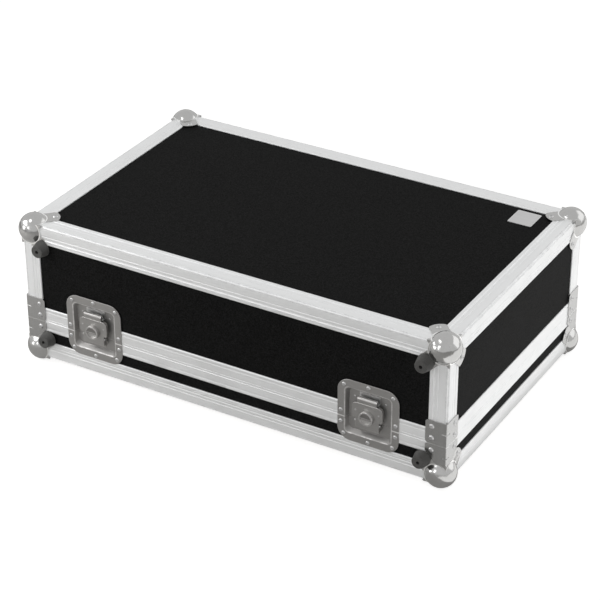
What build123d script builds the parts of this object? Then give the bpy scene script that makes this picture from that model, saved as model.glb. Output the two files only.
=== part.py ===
from build123d import *
import os
from math import cos, radians, sin, sqrt

# Flight case for a lighting controller: shallow base, deep hinged lid. Millimetres, +Z up.
# Origin: centre of the whole outline in plan, on the floor under the four lower ball corners.
# The front wall, with the two latches and the feet, looks towards -Y.
os.makedirs("parts", exist_ok=True)

# Case
case_width = 740.0
case_depth = 458.0
case_height = 237.0
split_height = 67.0
panel_thickness = 7.0
cut_out_corner = 8.0

# Aluminium edging and closure
skin = 1.5
flange = 30.0
inner_leg = 12.0
edge_round = 2.0
mitre_gap = 0.2
lip_width = 7.0
lip_height = 0.7
lip_valley = 0.2
groove_centres = (16.0, 21.5)
groove_depth = 0.4
groove_half_width = 0.9
hairline_inset = 3.5
hairline_half_width = 0.4
hairline_depth = 0.3
band_below = 18.4
band_above = 24.4
band_lip = 4.4
band_lip_height = 0.55
band_web = 2.5
band_groove_rise = 4.0
parting_chamfer = 0.8
tongue_inset = 3.5
tongue_width = 3.0
tongue_height = 3.0
tongue_clearance = 0.5
seat_clearance = 0.2
seat_height = 3.0

# Ball corners
corner_sheet = 1.6
dome_radius = 24.3
dome_inset = 13.1
dome_flange = 1.4
dome_blend = 1.0
wing_tip = 7.6
wing_width = 27.0
wing_end_radius = 23.0
wing_corner = 4.0
tab_length = 35.5
tab_root = 24.0
tab_root_width = 9.0
tab_neck = 29.0
tab_neck_width = 6.5
tab_tip_width = 1.2

# Corner braces
brace_sheet = 1.6
brace_width = 33.5
brace_above = 40.0
brace_below = 36.5
brace_taper_start = 14.0
brace_gap = 0.5
brace_snip = 3.0
brace_rivet_inset = 23.5
brace_rivets_above = (29.5, 10.0)
brace_rivets_below = (-11.0,)
brace_dart_above = 21.0
brace_dart_below = -19.5
brace_dart_length = 8.5
brace_dart_width = 1.5
brace_dart_depth = 0.8

# Rivets
rivet_radius = 4.2
rivet_height = 1.7
small_rivet_radius = 3.5
small_rivet_height = 1.5
rivet_eye = 1.2
rivet_eye_depth = 0.7

# Rubber feet
foot_base_radius = 13.4
foot_top_taper = 13.0
foot_height = 14.6
foot_round = 1.4
foot_dome_gap = 1.1244
foot_recess_radius = 2.9
foot_recess_depth = 9.0
foot_screw_head = 2.5
foot_screw_head_height = 2.0
foot_screw_radius = 1.5
foot_screw_clearance = 0.2

# Recessed latches
latch_offset = 242.6
latch_rise = 13.0
dish_rim_side = 13.0
dish_rim_end = 13.25
dish_corner = 21.0
dish_sheet = 1.2
dish_gap = 0.4
pan_width = 76.0
pan_height = 79.0
pan_corner = 8.0
pan_depth = 6.0
pan_slope_side = 3.5
pan_slope_end = 5.3
pan_floor_corner = 6.0
cut_out_clearance = 1.8
latch_rivet_past_side = 2.6
latch_rivet_past_end = 3.1
latch_rivet_mid_past_end = 8.1
latch_rivet_side_past = 7.3
latch_rivet_split = 9.7
hook_sheet = 1.2
hook_face = 4.2
hook_width = 50.6
hook_top = 19.9
hook_waist = -6.0
hook_foot = -22.8
hook_foot_width = 39.0
hook_corner = 8.0
hook_skirt = 3.8
hook_nose_width = 32.0
hook_nose_height = 26.0
hook_nose_radius = 3.7
hook_nose_centre = 1.3
hook_tip_drop = 0.5
hook_neck_front = 3.8
hook_neck_bottom = 18.4
hook_crease_high = 2.2
hook_crease_low = 3.8
hook_crease_step = 0.4
hook_skirt_notch = 5.0
hook_ear_lift = 0.8
hook_ear_shoulder = 1.0
hook_ear_slope = 6.0
hook_dimple_x = 19.5
hook_dimple_z = 7.0
hook_dimple_radius = 1.8
hook_dimple_depth = 0.5
hook_travel = 9.0
hook_slope = 30.0
keeper_sheet = 1.2
keeper_width = 34.0
keeper_back_top = 33.6
keeper_base = 20.8
keeper_lip_front = 1.8
keeper_lip_top = 28.0
support_width = 32.0
support_bottom = -30.0
support_top = -16.0
support_ear_top = -9.0
support_ear_front = 2.4
support_ear_back = 1.5
support_heel = 4.0
support_ear_root = 1.0
guide_pin_radius = 1.5
guide_pin_out = 1.2
guide_pin_rise = -12.0
guide_pin_head = 2.4
guide_pin_head_height = 1.0
guide_pin_end = 0.3
guide_slot_clearance = 0.15
guide_pin_clearance = 0.03
turn_centre = -1.7
turn_radius = 11.5
turn_front = 9.7
turn_gap = 0.25
turn_round = 0.7
turn_recess_radius = 9.2
turn_recess_depth = 3.4
turn_hub_radius = 6.0
turn_hub_clearance = 0.15
turn_washer_radius = 8.0
wing_key_clearance = 0.4
wing_key_thickness = 2.2
wing_key_axis = 8.2
wing_key_barrel = 1.5
wing_pin_radius = 0.7
wing_pin_clearance = 0.05
wing_bore_inset = 0.6
wing_pin_inset = 0.8

# Hinges on the back
hinge_offset = 230.0
hinge_width = 70.0
hinge_leaf = 30.0
hinge_sheet = 1.5
hinge_barrel = 4.0
hinge_pin_radius = 2.0
hinge_pin_clearance = 0.06
hinge_reach = 5.0
hinge_knuckle = 29.2
hinge_knuckle_gap = 0.4
hinge_leaf_start = 5.2
hinge_arm_overlap = 1.0
hinge_pin_end = 0.6
hinge_rivet_x = 24.0
hinge_rivet_z = 17.6

# Recessed handle on the back of the lid
handle_rise = 82.0
handle_width = 150.0
handle_height = 100.0
handle_corner = 14.0
handle_pan_width = 124.0
handle_pan_height = 72.0
handle_pan_corner = 10.0
handle_pan_depth = 13.0
handle_pan_taper = 4.0
bail_radius = 3.5
bail_half_width = 44.0
bail_bend = 4.5
bail_trunnion = 56.0
bail_axis_depth = 5.0
bail_axis_rise = 22.0
bail_drop = 42.0
bail_lug_inner = 49.0
bail_lug_thickness = 4.0
bail_lug_radius = 6.0
bail_clearance = 0.08
grip_radius = 6.0
grip_length = 72.0
handle_rivet_x = 68.5
handle_rivet_z = 43.0

# Plain plate on the lid
tag_width = 40.0
tag_height = 42.5
tag_thickness = 0.8
tag_corner = 2.5
tag_x = 298.0
tag_y = 170.0

# Foam
foam_wall = 14.0
foam_floor = 12.0
foam_roof = 20.0
foam_gap = 0.5
foam_edge = 1.0
foam_pocket_margin = 4.0

# Positions that follow from the sizes above
ball_reach = dome_radius - dome_inset
foot_reach = corner_sheet + foot_height
shell_y = (foot_reach - ball_reach) / 2
front_y = shell_y - case_depth / 2
back_y = shell_y + case_depth / 2
side_x = case_width / 2
bottom_z = ball_reach
top_z = bottom_z + case_height
mid_z = (bottom_z + top_z) / 2
split_z = bottom_z + split_height
latch_z = split_z + latch_rise
channel = skin + panel_thickness
channel_back = channel + skin
footprint = sqrt(dome_radius**2 - (dome_inset + corner_sheet) ** 2)
wing_hole = dome_inset * sqrt(2) + footprint + foot_dome_gap + foot_base_radius
wing_length = wing_hole + wing_tip
wing_rivet_inset = wing_hole / sqrt(2)
dish_width = pan_width + 2 * dish_rim_side
dish_height = pan_height + 2 * dish_rim_end
pan_floor_width = pan_width - 2 * pan_slope_side
pan_floor_height = pan_height - 2 * pan_slope_end
cut_out_width = pan_width + 2 * (dish_sheet + cut_out_clearance)
cut_out_height = pan_height + 2 * (dish_sheet + cut_out_clearance)
latch_rivet_x = pan_width / 2 + latch_rivet_past_side
latch_rivet_z = pan_height / 2 + latch_rivet_past_end
latch_rivet_mid = pan_height / 2 + latch_rivet_mid_past_end
latch_rivet_side = pan_width / 2 + latch_rivet_side_past
front_sheet = front_y - dish_sheet
latch_centres = (latch_offset, -latch_offset)
handle_z = split_z + handle_rise


def front(out=0.0):
    """Plane parallel to the front wall, local axes X and Z, this far outside it."""
    return Plane.XZ.offset(out - front_y)


def back(out=0.0):
    """Plane parallel to the back wall, local axes -X and Z, this far outside it."""
    return Plane(origin=(0, back_y + out, 0), x_dir=(-1, 0, 0), z_dir=(0, 1, 0))


def side(out=0.0):
    """Plane parallel to the right wall, local axes Y and Z, this far outside it."""
    return Plane.YZ.offset(side_x + out)


def to_corner(shape, right, at_front, at_top):
    """Copy of a shape made at the upper right front corner, mirrored to another corner."""
    if not right:
        shape = shape.mirror(Plane.YZ)
    if not at_front:
        shape = shape.mirror(Plane.XZ.offset(-shell_y))
    if not at_top:
        shape = shape.mirror(Plane.XY.offset(mid_z))
    return shape


def on_diagonal(along, across):
    """Point given by its distance along and across the 45 degree line from a corner."""
    return ((along - across) / sqrt(2), (along + across) / sqrt(2))


# Section of the edging: outer angle with a two-rib lip, inner angle that makes the channels.
# Both local axes run inwards from the outer corner of the case.
lip_start = flange - lip_width
hairline_sides = ((-1, 0), (-0.5, hairline_depth), (0.5, hairline_depth), (1, 0))
face_points = [(edge_round, 0)]
face_points += [(hairline_inset + share * hairline_half_width, depth) for share, depth in hairline_sides]
for groove in groove_centres:
    face_points += [(groove - groove_half_width, 0), (groove, groove_depth)]
    face_points += [(groove + groove_half_width, 0)]
face_points += [(lip_start, 0)]
lip_points = [(lip_start, 0), (lip_start + lip_width * 0.16, -lip_height)]
lip_points += [(lip_start + lip_width * 0.45, -lip_valley), (lip_start + lip_width * 0.74, -lip_height)]
lip_points += [(flange - 0.3, -lip_valley), (flange, skin * 0.3)]

with BuildSketch() as edging_section:
    with BuildLine():
        Polyline(*face_points)
        Spline(*lip_points)
        Polyline((flange, skin * 0.3), (flange, skin), (skin, skin), (skin, flange), (skin * 0.3, flange))
        Spline(*[(b, a) for a, b in reversed(lip_points)])
        Polyline(*[(b, a) for a, b in reversed(face_points)])
        RadiusArc((0, edge_round), (edge_round, 0), edge_round)
    make_face()
    with Locations((channel, skin)):
        Rectangle(skin, channel_back + inner_leg - skin, align=(Align.MIN, Align.MIN))
    with Locations((skin, channel)):
        Rectangle(channel_back + inner_leg - skin, skin, align=(Align.MIN, Align.MIN))

# Sections of the closure: local X runs inwards from the face, local Y up from the parting line.
with BuildSketch() as band_base_section:
    with BuildLine():
        Spline((skin * 0.3, -band_below), (-band_lip_height, -band_below + band_lip / 2),
               (groove_depth * 0.6, -band_below + band_lip * 1.25), (0, -band_below + band_lip * 1.8))
        Polyline((0, -band_below + band_lip * 1.8), (0, -parting_chamfer), (parting_chamfer, 0),
                 (tongue_inset, 0), (tongue_inset, tongue_height),
                 (tongue_inset + tongue_width, tongue_height),
                 (tongue_inset + tongue_width, 0), (channel_back, 0), (channel_back, -inner_leg),
                 (channel, -inner_leg), (channel, -band_web), (skin, -band_web), (skin, -band_below),
                 (skin * 0.3, -band_below))
    make_face()

groove_height = tongue_height + tongue_clearance
lid_web = groove_height + skin
with BuildSketch() as band_lid_section:
    with BuildLine():
        Spline((skin * 0.3, band_above), (-band_lip_height, band_above - band_lip / 2),
               (groove_depth * 0.6, band_above - band_lip * 1.25), (0, band_above - band_lip * 1.8))
        Polyline((0, band_above - band_lip * 1.8), (0, band_groove_rise + hairline_half_width),
                 (groove_depth, band_groove_rise), (0, band_groove_rise - hairline_half_width),
                 (0, parting_chamfer),
                 (parting_chamfer, 0), (tongue_inset - tongue_clearance, 0),
                 (tongue_inset - tongue_clearance, groove_height),
                 (tongue_inset + tongue_width + tongue_clearance, groove_height),
                 (tongue_inset + tongue_width + tongue_clearance, 0), (channel_back, 0),
                 (channel_back, lid_web + inner_leg), (channel, lid_web + inner_leg), (channel, lid_web),
                 (skin, lid_web), (skin, band_above), (skin * 0.3, band_above))
    make_face()

# The four sides of the case in plan: start corner, direction along, direction inwards, length.
sides = [
    ((-side_x, front_y), Vector(1, 0, 0), Vector(0, 1, 0), case_width),
    ((side_x, front_y), Vector(0, 1, 0), Vector(-1, 0, 0), case_depth),
    ((side_x, back_y), Vector(-1, 0, 0), Vector(0, -1, 0), case_width),
    ((-side_x, back_y), Vector(0, -1, 0), Vector(1, 0, 0), case_depth),
]


def edging_length(start, along, inward, other, length, mitre_start=True, mitre_end=True):
    """One length of edging from an outer corner, mitred against the two others that meet there."""
    first = inward if (along.cross(inward) - other).length < 0.01 else other
    ends = []
    if mitre_start:
        ends.append((start, along))
    if mitre_end:
        ends.append((start + along * length, along * -1))
    with BuildPart() as piece:
        with BuildSketch(Plane(origin=start, x_dir=first, z_dir=along)):
            add(edging_section.sketch)
        extrude(amount=length)
        for point, away in ends:
            for across in (inward, other):
                mitre = Plane(origin=point + away * mitre_gap / 2, z_dir=away - across)
                split(bisect_by=mitre, keep=Keep.TOP)
    return piece.part


def band_length(section, start, along, inward, length):
    """One length of closure extrusion at the parting line, mitred at both ends."""
    origin = Vector(start[0], start[1], split_z)
    with BuildPart() as piece:
        with BuildSketch(Plane(origin=origin, x_dir=inward, z_dir=along)):
            add(section)
        extrude(amount=length)
        for point, away in ((origin, along), (origin + along * length, along * -1)):
            split(bisect_by=Plane(origin=point + away * mitre_gap / 2, z_dir=away - inward), keep=Keep.TOP)
    return piece.part


# Ball corner, made at the upper right front corner and mirrored to the others.
wing_half = wing_width / 2
wing_shoulder = wing_length - wing_end_radius + sqrt(wing_end_radius**2 - wing_half**2)
with BuildSketch() as corner_outline:
    with BuildLine():
        Line(on_diagonal(0, -wing_half), on_diagonal(wing_shoulder, -wing_half))
        ThreePointArc(on_diagonal(wing_shoulder, -wing_half), on_diagonal(wing_length, 0),
                      on_diagonal(wing_shoulder, wing_half))
        Line(on_diagonal(wing_shoulder, wing_half), on_diagonal(0, wing_half))
        Line(on_diagonal(0, wing_half), on_diagonal(0, -wing_half))
    make_face()
    fillet(corner_outline.vertices().group_by(lambda v: v.X + v.Y)[-1], wing_corner)
    with Locations((dome_inset, dome_inset)):
        Circle(footprint + dome_flange)
    tab = [(-corner_sheet, -corner_sheet), (tab_length, -corner_sheet), (tab_length, tab_tip_width)]
    tab += [(tab_neck, tab_neck_width), (tab_root, tab_root_width), (-corner_sheet, tab_root_width)]
    with BuildLine():
        Polyline(*tab, close=True)
    make_face()
    with BuildLine():
        Polyline(*[(b, a) for a, b in tab], close=True)
    make_face()
    with Locations((-corner_sheet, -corner_sheet)):
        Rectangle(case_depth / 4, case_depth / 4, align=(Align.MIN, Align.MIN), mode=Mode.INTERSECT)

corner_point = Vector(side_x, front_y, top_z)
dome_centre = corner_point + Vector(-dome_inset, dome_inset, -dome_inset)
corner_planes = [
    Plane(origin=corner_point, x_dir=(0, 1, 0), z_dir=(0, 0, 1)),
    Plane(origin=corner_point, x_dir=(-1, 0, 0), z_dir=(0, -1, 0)),
    Plane(origin=corner_point, x_dir=(0, 0, -1), z_dir=(1, 0, 0)),
]
with BuildPart() as corner_master:
    for plane in corner_planes:
        with BuildSketch(plane):
            add(corner_outline.sketch)
        extrude(amount=corner_sheet)
    with Locations(dome_centre):
        Sphere(dome_radius)
    dome_root = corner_master.edges().filter_by(GeomType.CIRCLE)
    dome_root = dome_root.filter_by(lambda e: abs(e.radius - footprint) < 0.01)
    fillet(dome_root, dome_blend)
    with Locations(corner_point):
        Box(case_depth / 4, case_depth / 4, case_depth / 4,
            align=(Align.MAX, Align.MIN, Align.MAX), mode=Mode.SUBTRACT)
    with Locations(dome_centre):
        Sphere(dome_radius - corner_sheet, mode=Mode.SUBTRACT)

# Room under a ball corner, a brace, a dish and a hinge leaf, where the ribs of the edging are dressed flat.
with BuildPart() as corner_seat:
    for plane in corner_planes:
        with BuildSketch(plane):
            add(corner_outline.sketch)
            offset(amount=seat_clearance)
        extrude(amount=seat_height)

brace_outline_above = [
    (-brace_sheet, brace_gap / 2), (brace_width - brace_snip, brace_gap / 2), (brace_width, brace_snip),
    (brace_width, brace_above - brace_snip), (brace_width - brace_snip, brace_above),
    (-brace_sheet, brace_above)]
brace_taper = brace_below - brace_taper_start
brace_outline_below = [
    (-brace_sheet, -brace_gap / 2), (brace_width - brace_snip, -brace_gap / 2), (brace_width, -brace_snip),
    (brace_width, -brace_taper_start), (brace_width - brace_taper, -brace_below),
    (-brace_sheet, -brace_below)]


def brace_sheet_pair(points, thickness, grow=0.0):
    """A corner brace half at the right front corner: one outline on the front and on the side face."""
    with BuildPart() as pair:
        with BuildSketch(front()):
            with BuildLine():
                Polyline(*[(side_x - u, split_z + z) for u, z in points], close=True)
            make_face()
            if grow:
                offset(amount=grow)
        extrude(amount=thickness)
        with BuildSketch(side()):
            with BuildLine():
                Polyline(*[(front_y + u, split_z + z) for u, z in points], close=True)
            make_face()
            if grow:
                offset(amount=grow)
        extrude(amount=thickness)
    return pair.part


lower_corner_seat = to_corner(corner_seat.part, True, True, False)
brace_seat_above = brace_sheet_pair(brace_outline_above, seat_height, seat_clearance)
brace_seat_below = brace_sheet_pair(brace_outline_below, seat_height, seat_clearance)
quarters = [(right, at_front) for right in (True, False) for at_front in (True, False)]
with BuildPart() as seats:
    for right, at_front in quarters:
        add(to_corner(corner_seat.part, right, at_front, True))
        add(to_corner(corner_seat.part, right, at_front, False))
        add(to_corner(brace_seat_above, right, at_front, True))
        add(to_corner(brace_seat_below, right, at_front, True))
    with BuildSketch(front()):
        with Locations(*[(x, latch_z) for x in latch_centres]):
            RectangleRounded(dish_width + 2 * seat_clearance, dish_height + 2 * seat_clearance, dish_corner)
    extrude(amount=seat_height)
    with BuildSketch(back()):
        with Locations((hinge_offset, split_z), (-hinge_offset, split_z)):
            Rectangle(hinge_width + 2 * seat_clearance, 2 * hinge_leaf + 2 * seat_clearance)
    extrude(amount=seat_height)

# Cut-outs behind the latch pans, right through the front wall.
with BuildPart() as latch_cut_outs:
    with BuildSketch(front(seat_height)):
        with Locations(*[(x, latch_z) for x in latch_centres]):
            RectangleRounded(cut_out_width, cut_out_height, cut_out_corner)
    extrude(amount=-(seat_height + channel_back + skin))

# Edging
bottom_lengths = [
    edging_length(Vector(x, y, bottom_z), along, inward, Vector(0, 0, 1), length)
    for (x, y), along, inward, length in sides]
top_lengths = [
    edging_length(Vector(x, y, top_z), along, inward, Vector(0, 0, -1), length)
    for (x, y), along, inward, length in sides]
base_post_height = split_height - band_below
lid_post_height = case_height - split_height - band_above
base_posts = []
lid_posts = []
for (x, y), along, inward, length in sides:
    base_posts.append(edging_length(Vector(x, y, bottom_z), Vector(0, 0, 1), along, inward,
                                    base_post_height, mitre_end=False))
    lid_posts.append(edging_length(Vector(x, y, split_z + band_above), Vector(0, 0, 1), along, inward,
                                   lid_post_height, mitre_start=False))

with BuildPart() as edging_bottom:
    for piece in bottom_lengths:
        add(piece)
    add(seats.part, mode=Mode.SUBTRACT)
with BuildPart() as edging_top:
    for piece in top_lengths:
        add(piece)
    add(seats.part, mode=Mode.SUBTRACT)
with BuildPart() as edging_base_posts:
    for piece in base_posts:
        add(piece)
    add(seats.part, mode=Mode.SUBTRACT)
with BuildPart() as edging_lid_posts:
    for piece in lid_posts:
        add(piece)
    add(seats.part, mode=Mode.SUBTRACT)

base_bands = [band_length(band_base_section.sketch, *one_side) for one_side in sides]
lid_bands = [band_length(band_lid_section.sketch, *one_side) for one_side in sides]
with BuildPart() as closure_base:
    for piece in base_bands:
        add(piece)
    add(seats.part, mode=Mode.SUBTRACT)
    add(latch_cut_outs.part, mode=Mode.SUBTRACT)
with BuildPart() as closure_lid:
    for piece in lid_bands:
        add(piece)
    add(seats.part, mode=Mode.SUBTRACT)
    add(latch_cut_outs.part, mode=Mode.SUBTRACT)

# Panels, each seated in the channels of the edging
panel_x = 2 * (side_x - channel_back)
panel_y = case_depth - 2 * channel_back
base_wall_low = bottom_z + channel_back
base_wall_high = split_z - band_web
lid_wall_low = split_z + lid_web
lid_wall_high = top_z - channel_back
corner_low = (Align.CENTER, Align.CENTER, Align.MIN)

with BuildPart() as panel_bottom:
    with Locations((0, shell_y, bottom_z + skin)):
        Box(panel_x, panel_y, panel_thickness, align=corner_low)
with BuildPart() as panel_top:
    with Locations((0, shell_y, top_z - skin - panel_thickness)):
        Box(panel_x, panel_y, panel_thickness, align=corner_low)
wall_in = skin + panel_thickness / 2
with BuildPart() as panel_base_front:
    with Locations((0, front_y + wall_in, base_wall_low)):
        Box(panel_x, panel_thickness, base_wall_high - base_wall_low, align=corner_low)
    add(latch_cut_outs.part, mode=Mode.SUBTRACT)
with BuildPart() as panel_base_back:
    with Locations((0, back_y - wall_in, base_wall_low)):
        Box(panel_x, panel_thickness, base_wall_high - base_wall_low, align=corner_low)
with BuildPart() as panel_base_right:
    with Locations((side_x - wall_in, shell_y, base_wall_low)):
        Box(panel_thickness, panel_y, base_wall_high - base_wall_low, align=corner_low)
with BuildPart() as panel_base_left:
    with Locations((wall_in - side_x, shell_y, base_wall_low)):
        Box(panel_thickness, panel_y, base_wall_high - base_wall_low, align=corner_low)
with BuildPart() as panel_lid_front:
    with Locations((0, front_y + wall_in, lid_wall_low)):
        Box(panel_x, panel_thickness, lid_wall_high - lid_wall_low, align=corner_low)
    add(latch_cut_outs.part, mode=Mode.SUBTRACT)
with BuildPart() as panel_lid_back:
    with Locations((0, back_y - wall_in, lid_wall_low)):
        Box(panel_x, panel_thickness, lid_wall_high - lid_wall_low, align=corner_low)
    with BuildSketch(back()):
        with Locations((0, handle_z)):
            RectangleRounded(handle_pan_width + 4 * dish_sheet, handle_pan_height + 4 * dish_sheet,
                             handle_pan_corner)
    extrude(amount=-channel_back, mode=Mode.SUBTRACT)
with BuildPart() as panel_lid_right:
    with Locations((side_x - wall_in, shell_y, lid_wall_low)):
        Box(panel_thickness, panel_y, lid_wall_high - lid_wall_low, align=corner_low)
with BuildPart() as panel_lid_left:
    with Locations((wall_in - side_x, shell_y, lid_wall_low)):
        Box(panel_thickness, panel_y, lid_wall_high - lid_wall_low, align=corner_low)

# Corner braces, with a pressed dart across the bend of each half
brace_halves = []
for outline, dart_z in ((brace_outline_above, brace_dart_above), (brace_outline_below, brace_dart_below)):
    blank = brace_sheet_pair(outline, brace_sheet)
    with BuildPart() as brace_half:
        add(blank)
        bend = brace_half.edges().filter_by(Axis.Z).sort_by(lambda e: e.center().X - e.center().Y)[-1]
        fillet(bend, brace_sheet)
        with Locations((side_x + brace_sheet, front_y - brace_sheet, split_z + dart_z)):
            Box(brace_dart_length, brace_dart_length, brace_dart_width,
                align=(Align.MAX, Align.MIN, Align.CENTER), mode=Mode.SUBTRACT)
        with Locations((side_x + brace_sheet - brace_dart_depth, front_y - brace_sheet + brace_dart_depth,
                        split_z + dart_z)):
            Box(brace_dart_length, brace_dart_length, brace_dart_width,
                align=(Align.MAX, Align.MIN, Align.CENTER))
        with Locations((side_x, front_y, split_z + dart_z)):
            Box(flange, flange, brace_dart_width * 2, align=(Align.MAX, Align.MIN, Align.CENTER),
                mode=Mode.SUBTRACT)
        add(lower_corner_seat, mode=Mode.SUBTRACT)
    brace_halves.append(brace_half.part)
with BuildPart() as braces_lid:
    for right, at_front in quarters:
        add(to_corner(brace_halves[0], right, at_front, True))
with BuildPart() as braces_base:
    for right, at_front in quarters:
        add(to_corner(brace_halves[1], right, at_front, True))

# Blind rivet heads, one master each, standing on local XY
rivet_masters = []
for radius, height in ((rivet_radius, rivet_height), (small_rivet_radius, small_rivet_height)):
    with BuildPart() as rivet_master:
        with BuildSketch(Plane.XZ):
            with BuildLine():
                Line((0, 0), (radius, 0))
                ThreePointArc((radius, 0), (radius * 0.78, height * 0.72), (rivet_eye, height))
                Polyline((rivet_eye, height), (rivet_eye, height - rivet_eye_depth),
                         (0, height - rivet_eye_depth), (0, 0))
            make_face()
        revolve(axis=Axis.Z)
    rivet_masters.append(rivet_master.part)
large_rivet, small_rivet = rivet_masters

inset = wing_rivet_inset
wing_spots_x = side_x - inset
corner_rivet_places = {True: [], False: []}
brace_rivet_places = {True: [], False: []}
for right, at_front in quarters:
    x_sign = 1 if right else -1
    wall_y = front_y if at_front else back_y
    out_y = -1 if at_front else 1
    for at_top in (True, False):
        out_z = 1 if at_top else -1
        wall_z = top_z if at_top else bottom_z
        spots = [
            ((x_sign * wing_spots_x, wall_y - out_y * inset, wall_z + out_z * corner_sheet), (0, 0, out_z)),
            ((x_sign * (side_x + corner_sheet), wall_y - out_y * inset, wall_z - out_z * inset),
             (x_sign, 0, 0)),
        ]
        if not at_front:
            spots.append(((x_sign * wing_spots_x, wall_y + out_y * corner_sheet, wall_z - out_z * inset),
                          (0, out_y, 0)))
        corner_rivet_places[at_top] += spots
        rises = brace_rivets_above if at_top else brace_rivets_below
        for rise in rises:
            brace_rivet_places[at_top] += [
                ((x_sign * (side_x - brace_rivet_inset), wall_y + out_y * brace_sheet, split_z + rise),
                 (0, out_y, 0)),
                ((x_sign * (side_x + brace_sheet), wall_y - out_y * brace_rivet_inset, split_z + rise),
                 (x_sign, 0, 0)),
            ]

latch_rivet_places = {True: [], False: []}
for x in latch_centres:
    for at_top, sign in ((True, 1), (False, -1)):
        points = [(x, latch_z + sign * latch_rivet_mid)]
        for hand in (1, -1):
            points.append((x + hand * latch_rivet_x, latch_z + sign * latch_rivet_z))
            points.append((x + hand * latch_rivet_side, split_z + sign * latch_rivet_split))
        latch_rivet_places[at_top] += [((px, front_sheet, pz), (0, -1, 0)) for px, pz in points]

hinge_rivet_places = {True: [], False: []}
for x in (hinge_offset, -hinge_offset):
    for at_top, sign in ((True, 1), (False, -1)):
        for hand in (1, -1):
            hinge_rivet_places[at_top].append(
                ((x + hand * hinge_rivet_x, back_y + hinge_sheet, split_z + sign * hinge_rivet_z), (0, 1, 0)))
handle_rivet_places = [
    ((hand * handle_rivet_x, back_y - skin + dish_sheet, handle_z + sign * handle_rivet_z), (0, 1, 0))
    for hand in (1, -1) for sign in (1, -1)]


def spots_to_locations(places):
    """Locations whose Z axis leaves the surface that each rivet stands on."""
    return [Plane(origin=point, z_dir=normal).location for point, normal in places]


with BuildPart() as rivets_base:
    with Locations(*spots_to_locations(corner_rivet_places[False] + brace_rivet_places[False])):
        add(large_rivet)
    with Locations(*spots_to_locations(latch_rivet_places[False] + hinge_rivet_places[False])):
        add(small_rivet)
with BuildPart() as rivets_lid:
    with Locations(*spots_to_locations(corner_rivet_places[True] + brace_rivet_places[True])):
        add(large_rivet)
    small_places = latch_rivet_places[True] + hinge_rivet_places[True] + handle_rivet_places
    with Locations(*spots_to_locations(small_places)):
        add(small_rivet)

# Rubber feet with a recessed screw, on the front wings of the ball corners
feet = {}
for at_top, foot_z in ((True, top_z - inset), (False, bottom_z + inset)):
    with BuildPart() as foot_pair:
        with BuildSketch(front(corner_sheet)):
            with Locations((wing_spots_x, foot_z), (-wing_spots_x, foot_z)):
                Circle(foot_base_radius)
        extrude(amount=foot_height, taper=foot_top_taper)
        rim = foot_pair.faces().filter_by(Axis.Y).group_by(Axis.Y)[0].edges()
        fillet(rim, foot_round)
        with BuildSketch(front(foot_reach)):
            with Locations((wing_spots_x, foot_z), (-wing_spots_x, foot_z)):
                Circle(foot_recess_radius)
        extrude(amount=-foot_recess_depth, mode=Mode.SUBTRACT)
        with BuildSketch(front(foot_reach)):
            with Locations((wing_spots_x, foot_z), (-wing_spots_x, foot_z)):
                Circle(foot_screw_radius + foot_screw_clearance)
        extrude(amount=-foot_height, mode=Mode.SUBTRACT)
    with BuildPart() as screw_pair:
        with BuildSketch(front(corner_sheet)):
            with Locations((wing_spots_x, foot_z), (-wing_spots_x, foot_z)):
                Circle(foot_screw_radius)
        extrude(amount=foot_height - foot_recess_depth)
        with BuildSketch(front(foot_reach - foot_recess_depth)):
            with Locations((wing_spots_x, foot_z), (-wing_spots_x, foot_z)):
                Circle(foot_screw_head)
        extrude(amount=foot_screw_head_height)
    feet[at_top] = (foot_pair, screw_pair)
feet_lid, foot_screws_lid = feet[True]
feet_base, foot_screws_base = feet[False]

# Latch dish: pressed sheet with a sloping pan, cut in two at the parting line
dish_outer_floor = pan_depth + dish_sheet
with BuildPart() as dish_master:
    with BuildSketch(front()):
        with Locations((latch_offset, latch_z)):
            RectangleRounded(dish_width, dish_height, dish_corner)
    extrude(amount=dish_sheet)
    with BuildSketch(front()):
        with Locations((latch_offset, latch_z)):
            RectangleRounded(pan_width + 2 * dish_sheet, pan_height + 2 * dish_sheet, pan_corner + dish_sheet)
    with BuildSketch(front(-dish_outer_floor)):
        with Locations((latch_offset, latch_z)):
            RectangleRounded(pan_floor_width + 2 * dish_sheet, pan_floor_height + 2 * dish_sheet,
                             pan_floor_corner + dish_sheet)
    loft()
    with BuildSketch(front(dish_sheet)):
        with Locations((latch_offset, latch_z)):
            RectangleRounded(pan_width, pan_height, pan_corner)
    with BuildSketch(front(-pan_depth)):
        with Locations((latch_offset, latch_z)):
            RectangleRounded(pan_floor_width, pan_floor_height, pan_floor_corner)
    loft(mode=Mode.SUBTRACT)
    rim = dish_master.faces().filter_by(Axis.Y).group_by(Axis.Y)[0].edges().filter_by(
        lambda e: (e.center() - Vector(latch_offset, front_sheet, latch_z)).length > pan_width / 2 + 3)
    fillet(rim, dish_sheet * 0.6)
dish_halves = {}
for at_top in (True, False):
    level = split_z + (dish_gap / 2 if at_top else -dish_gap / 2)
    keep = Keep.TOP if at_top else Keep.BOTTOM
    with BuildPart() as dish_half:
        add(dish_master.part)
        split(bisect_by=Plane.XY.offset(level), keep=keep)
    dish_halves[at_top] = dish_half.part

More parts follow.
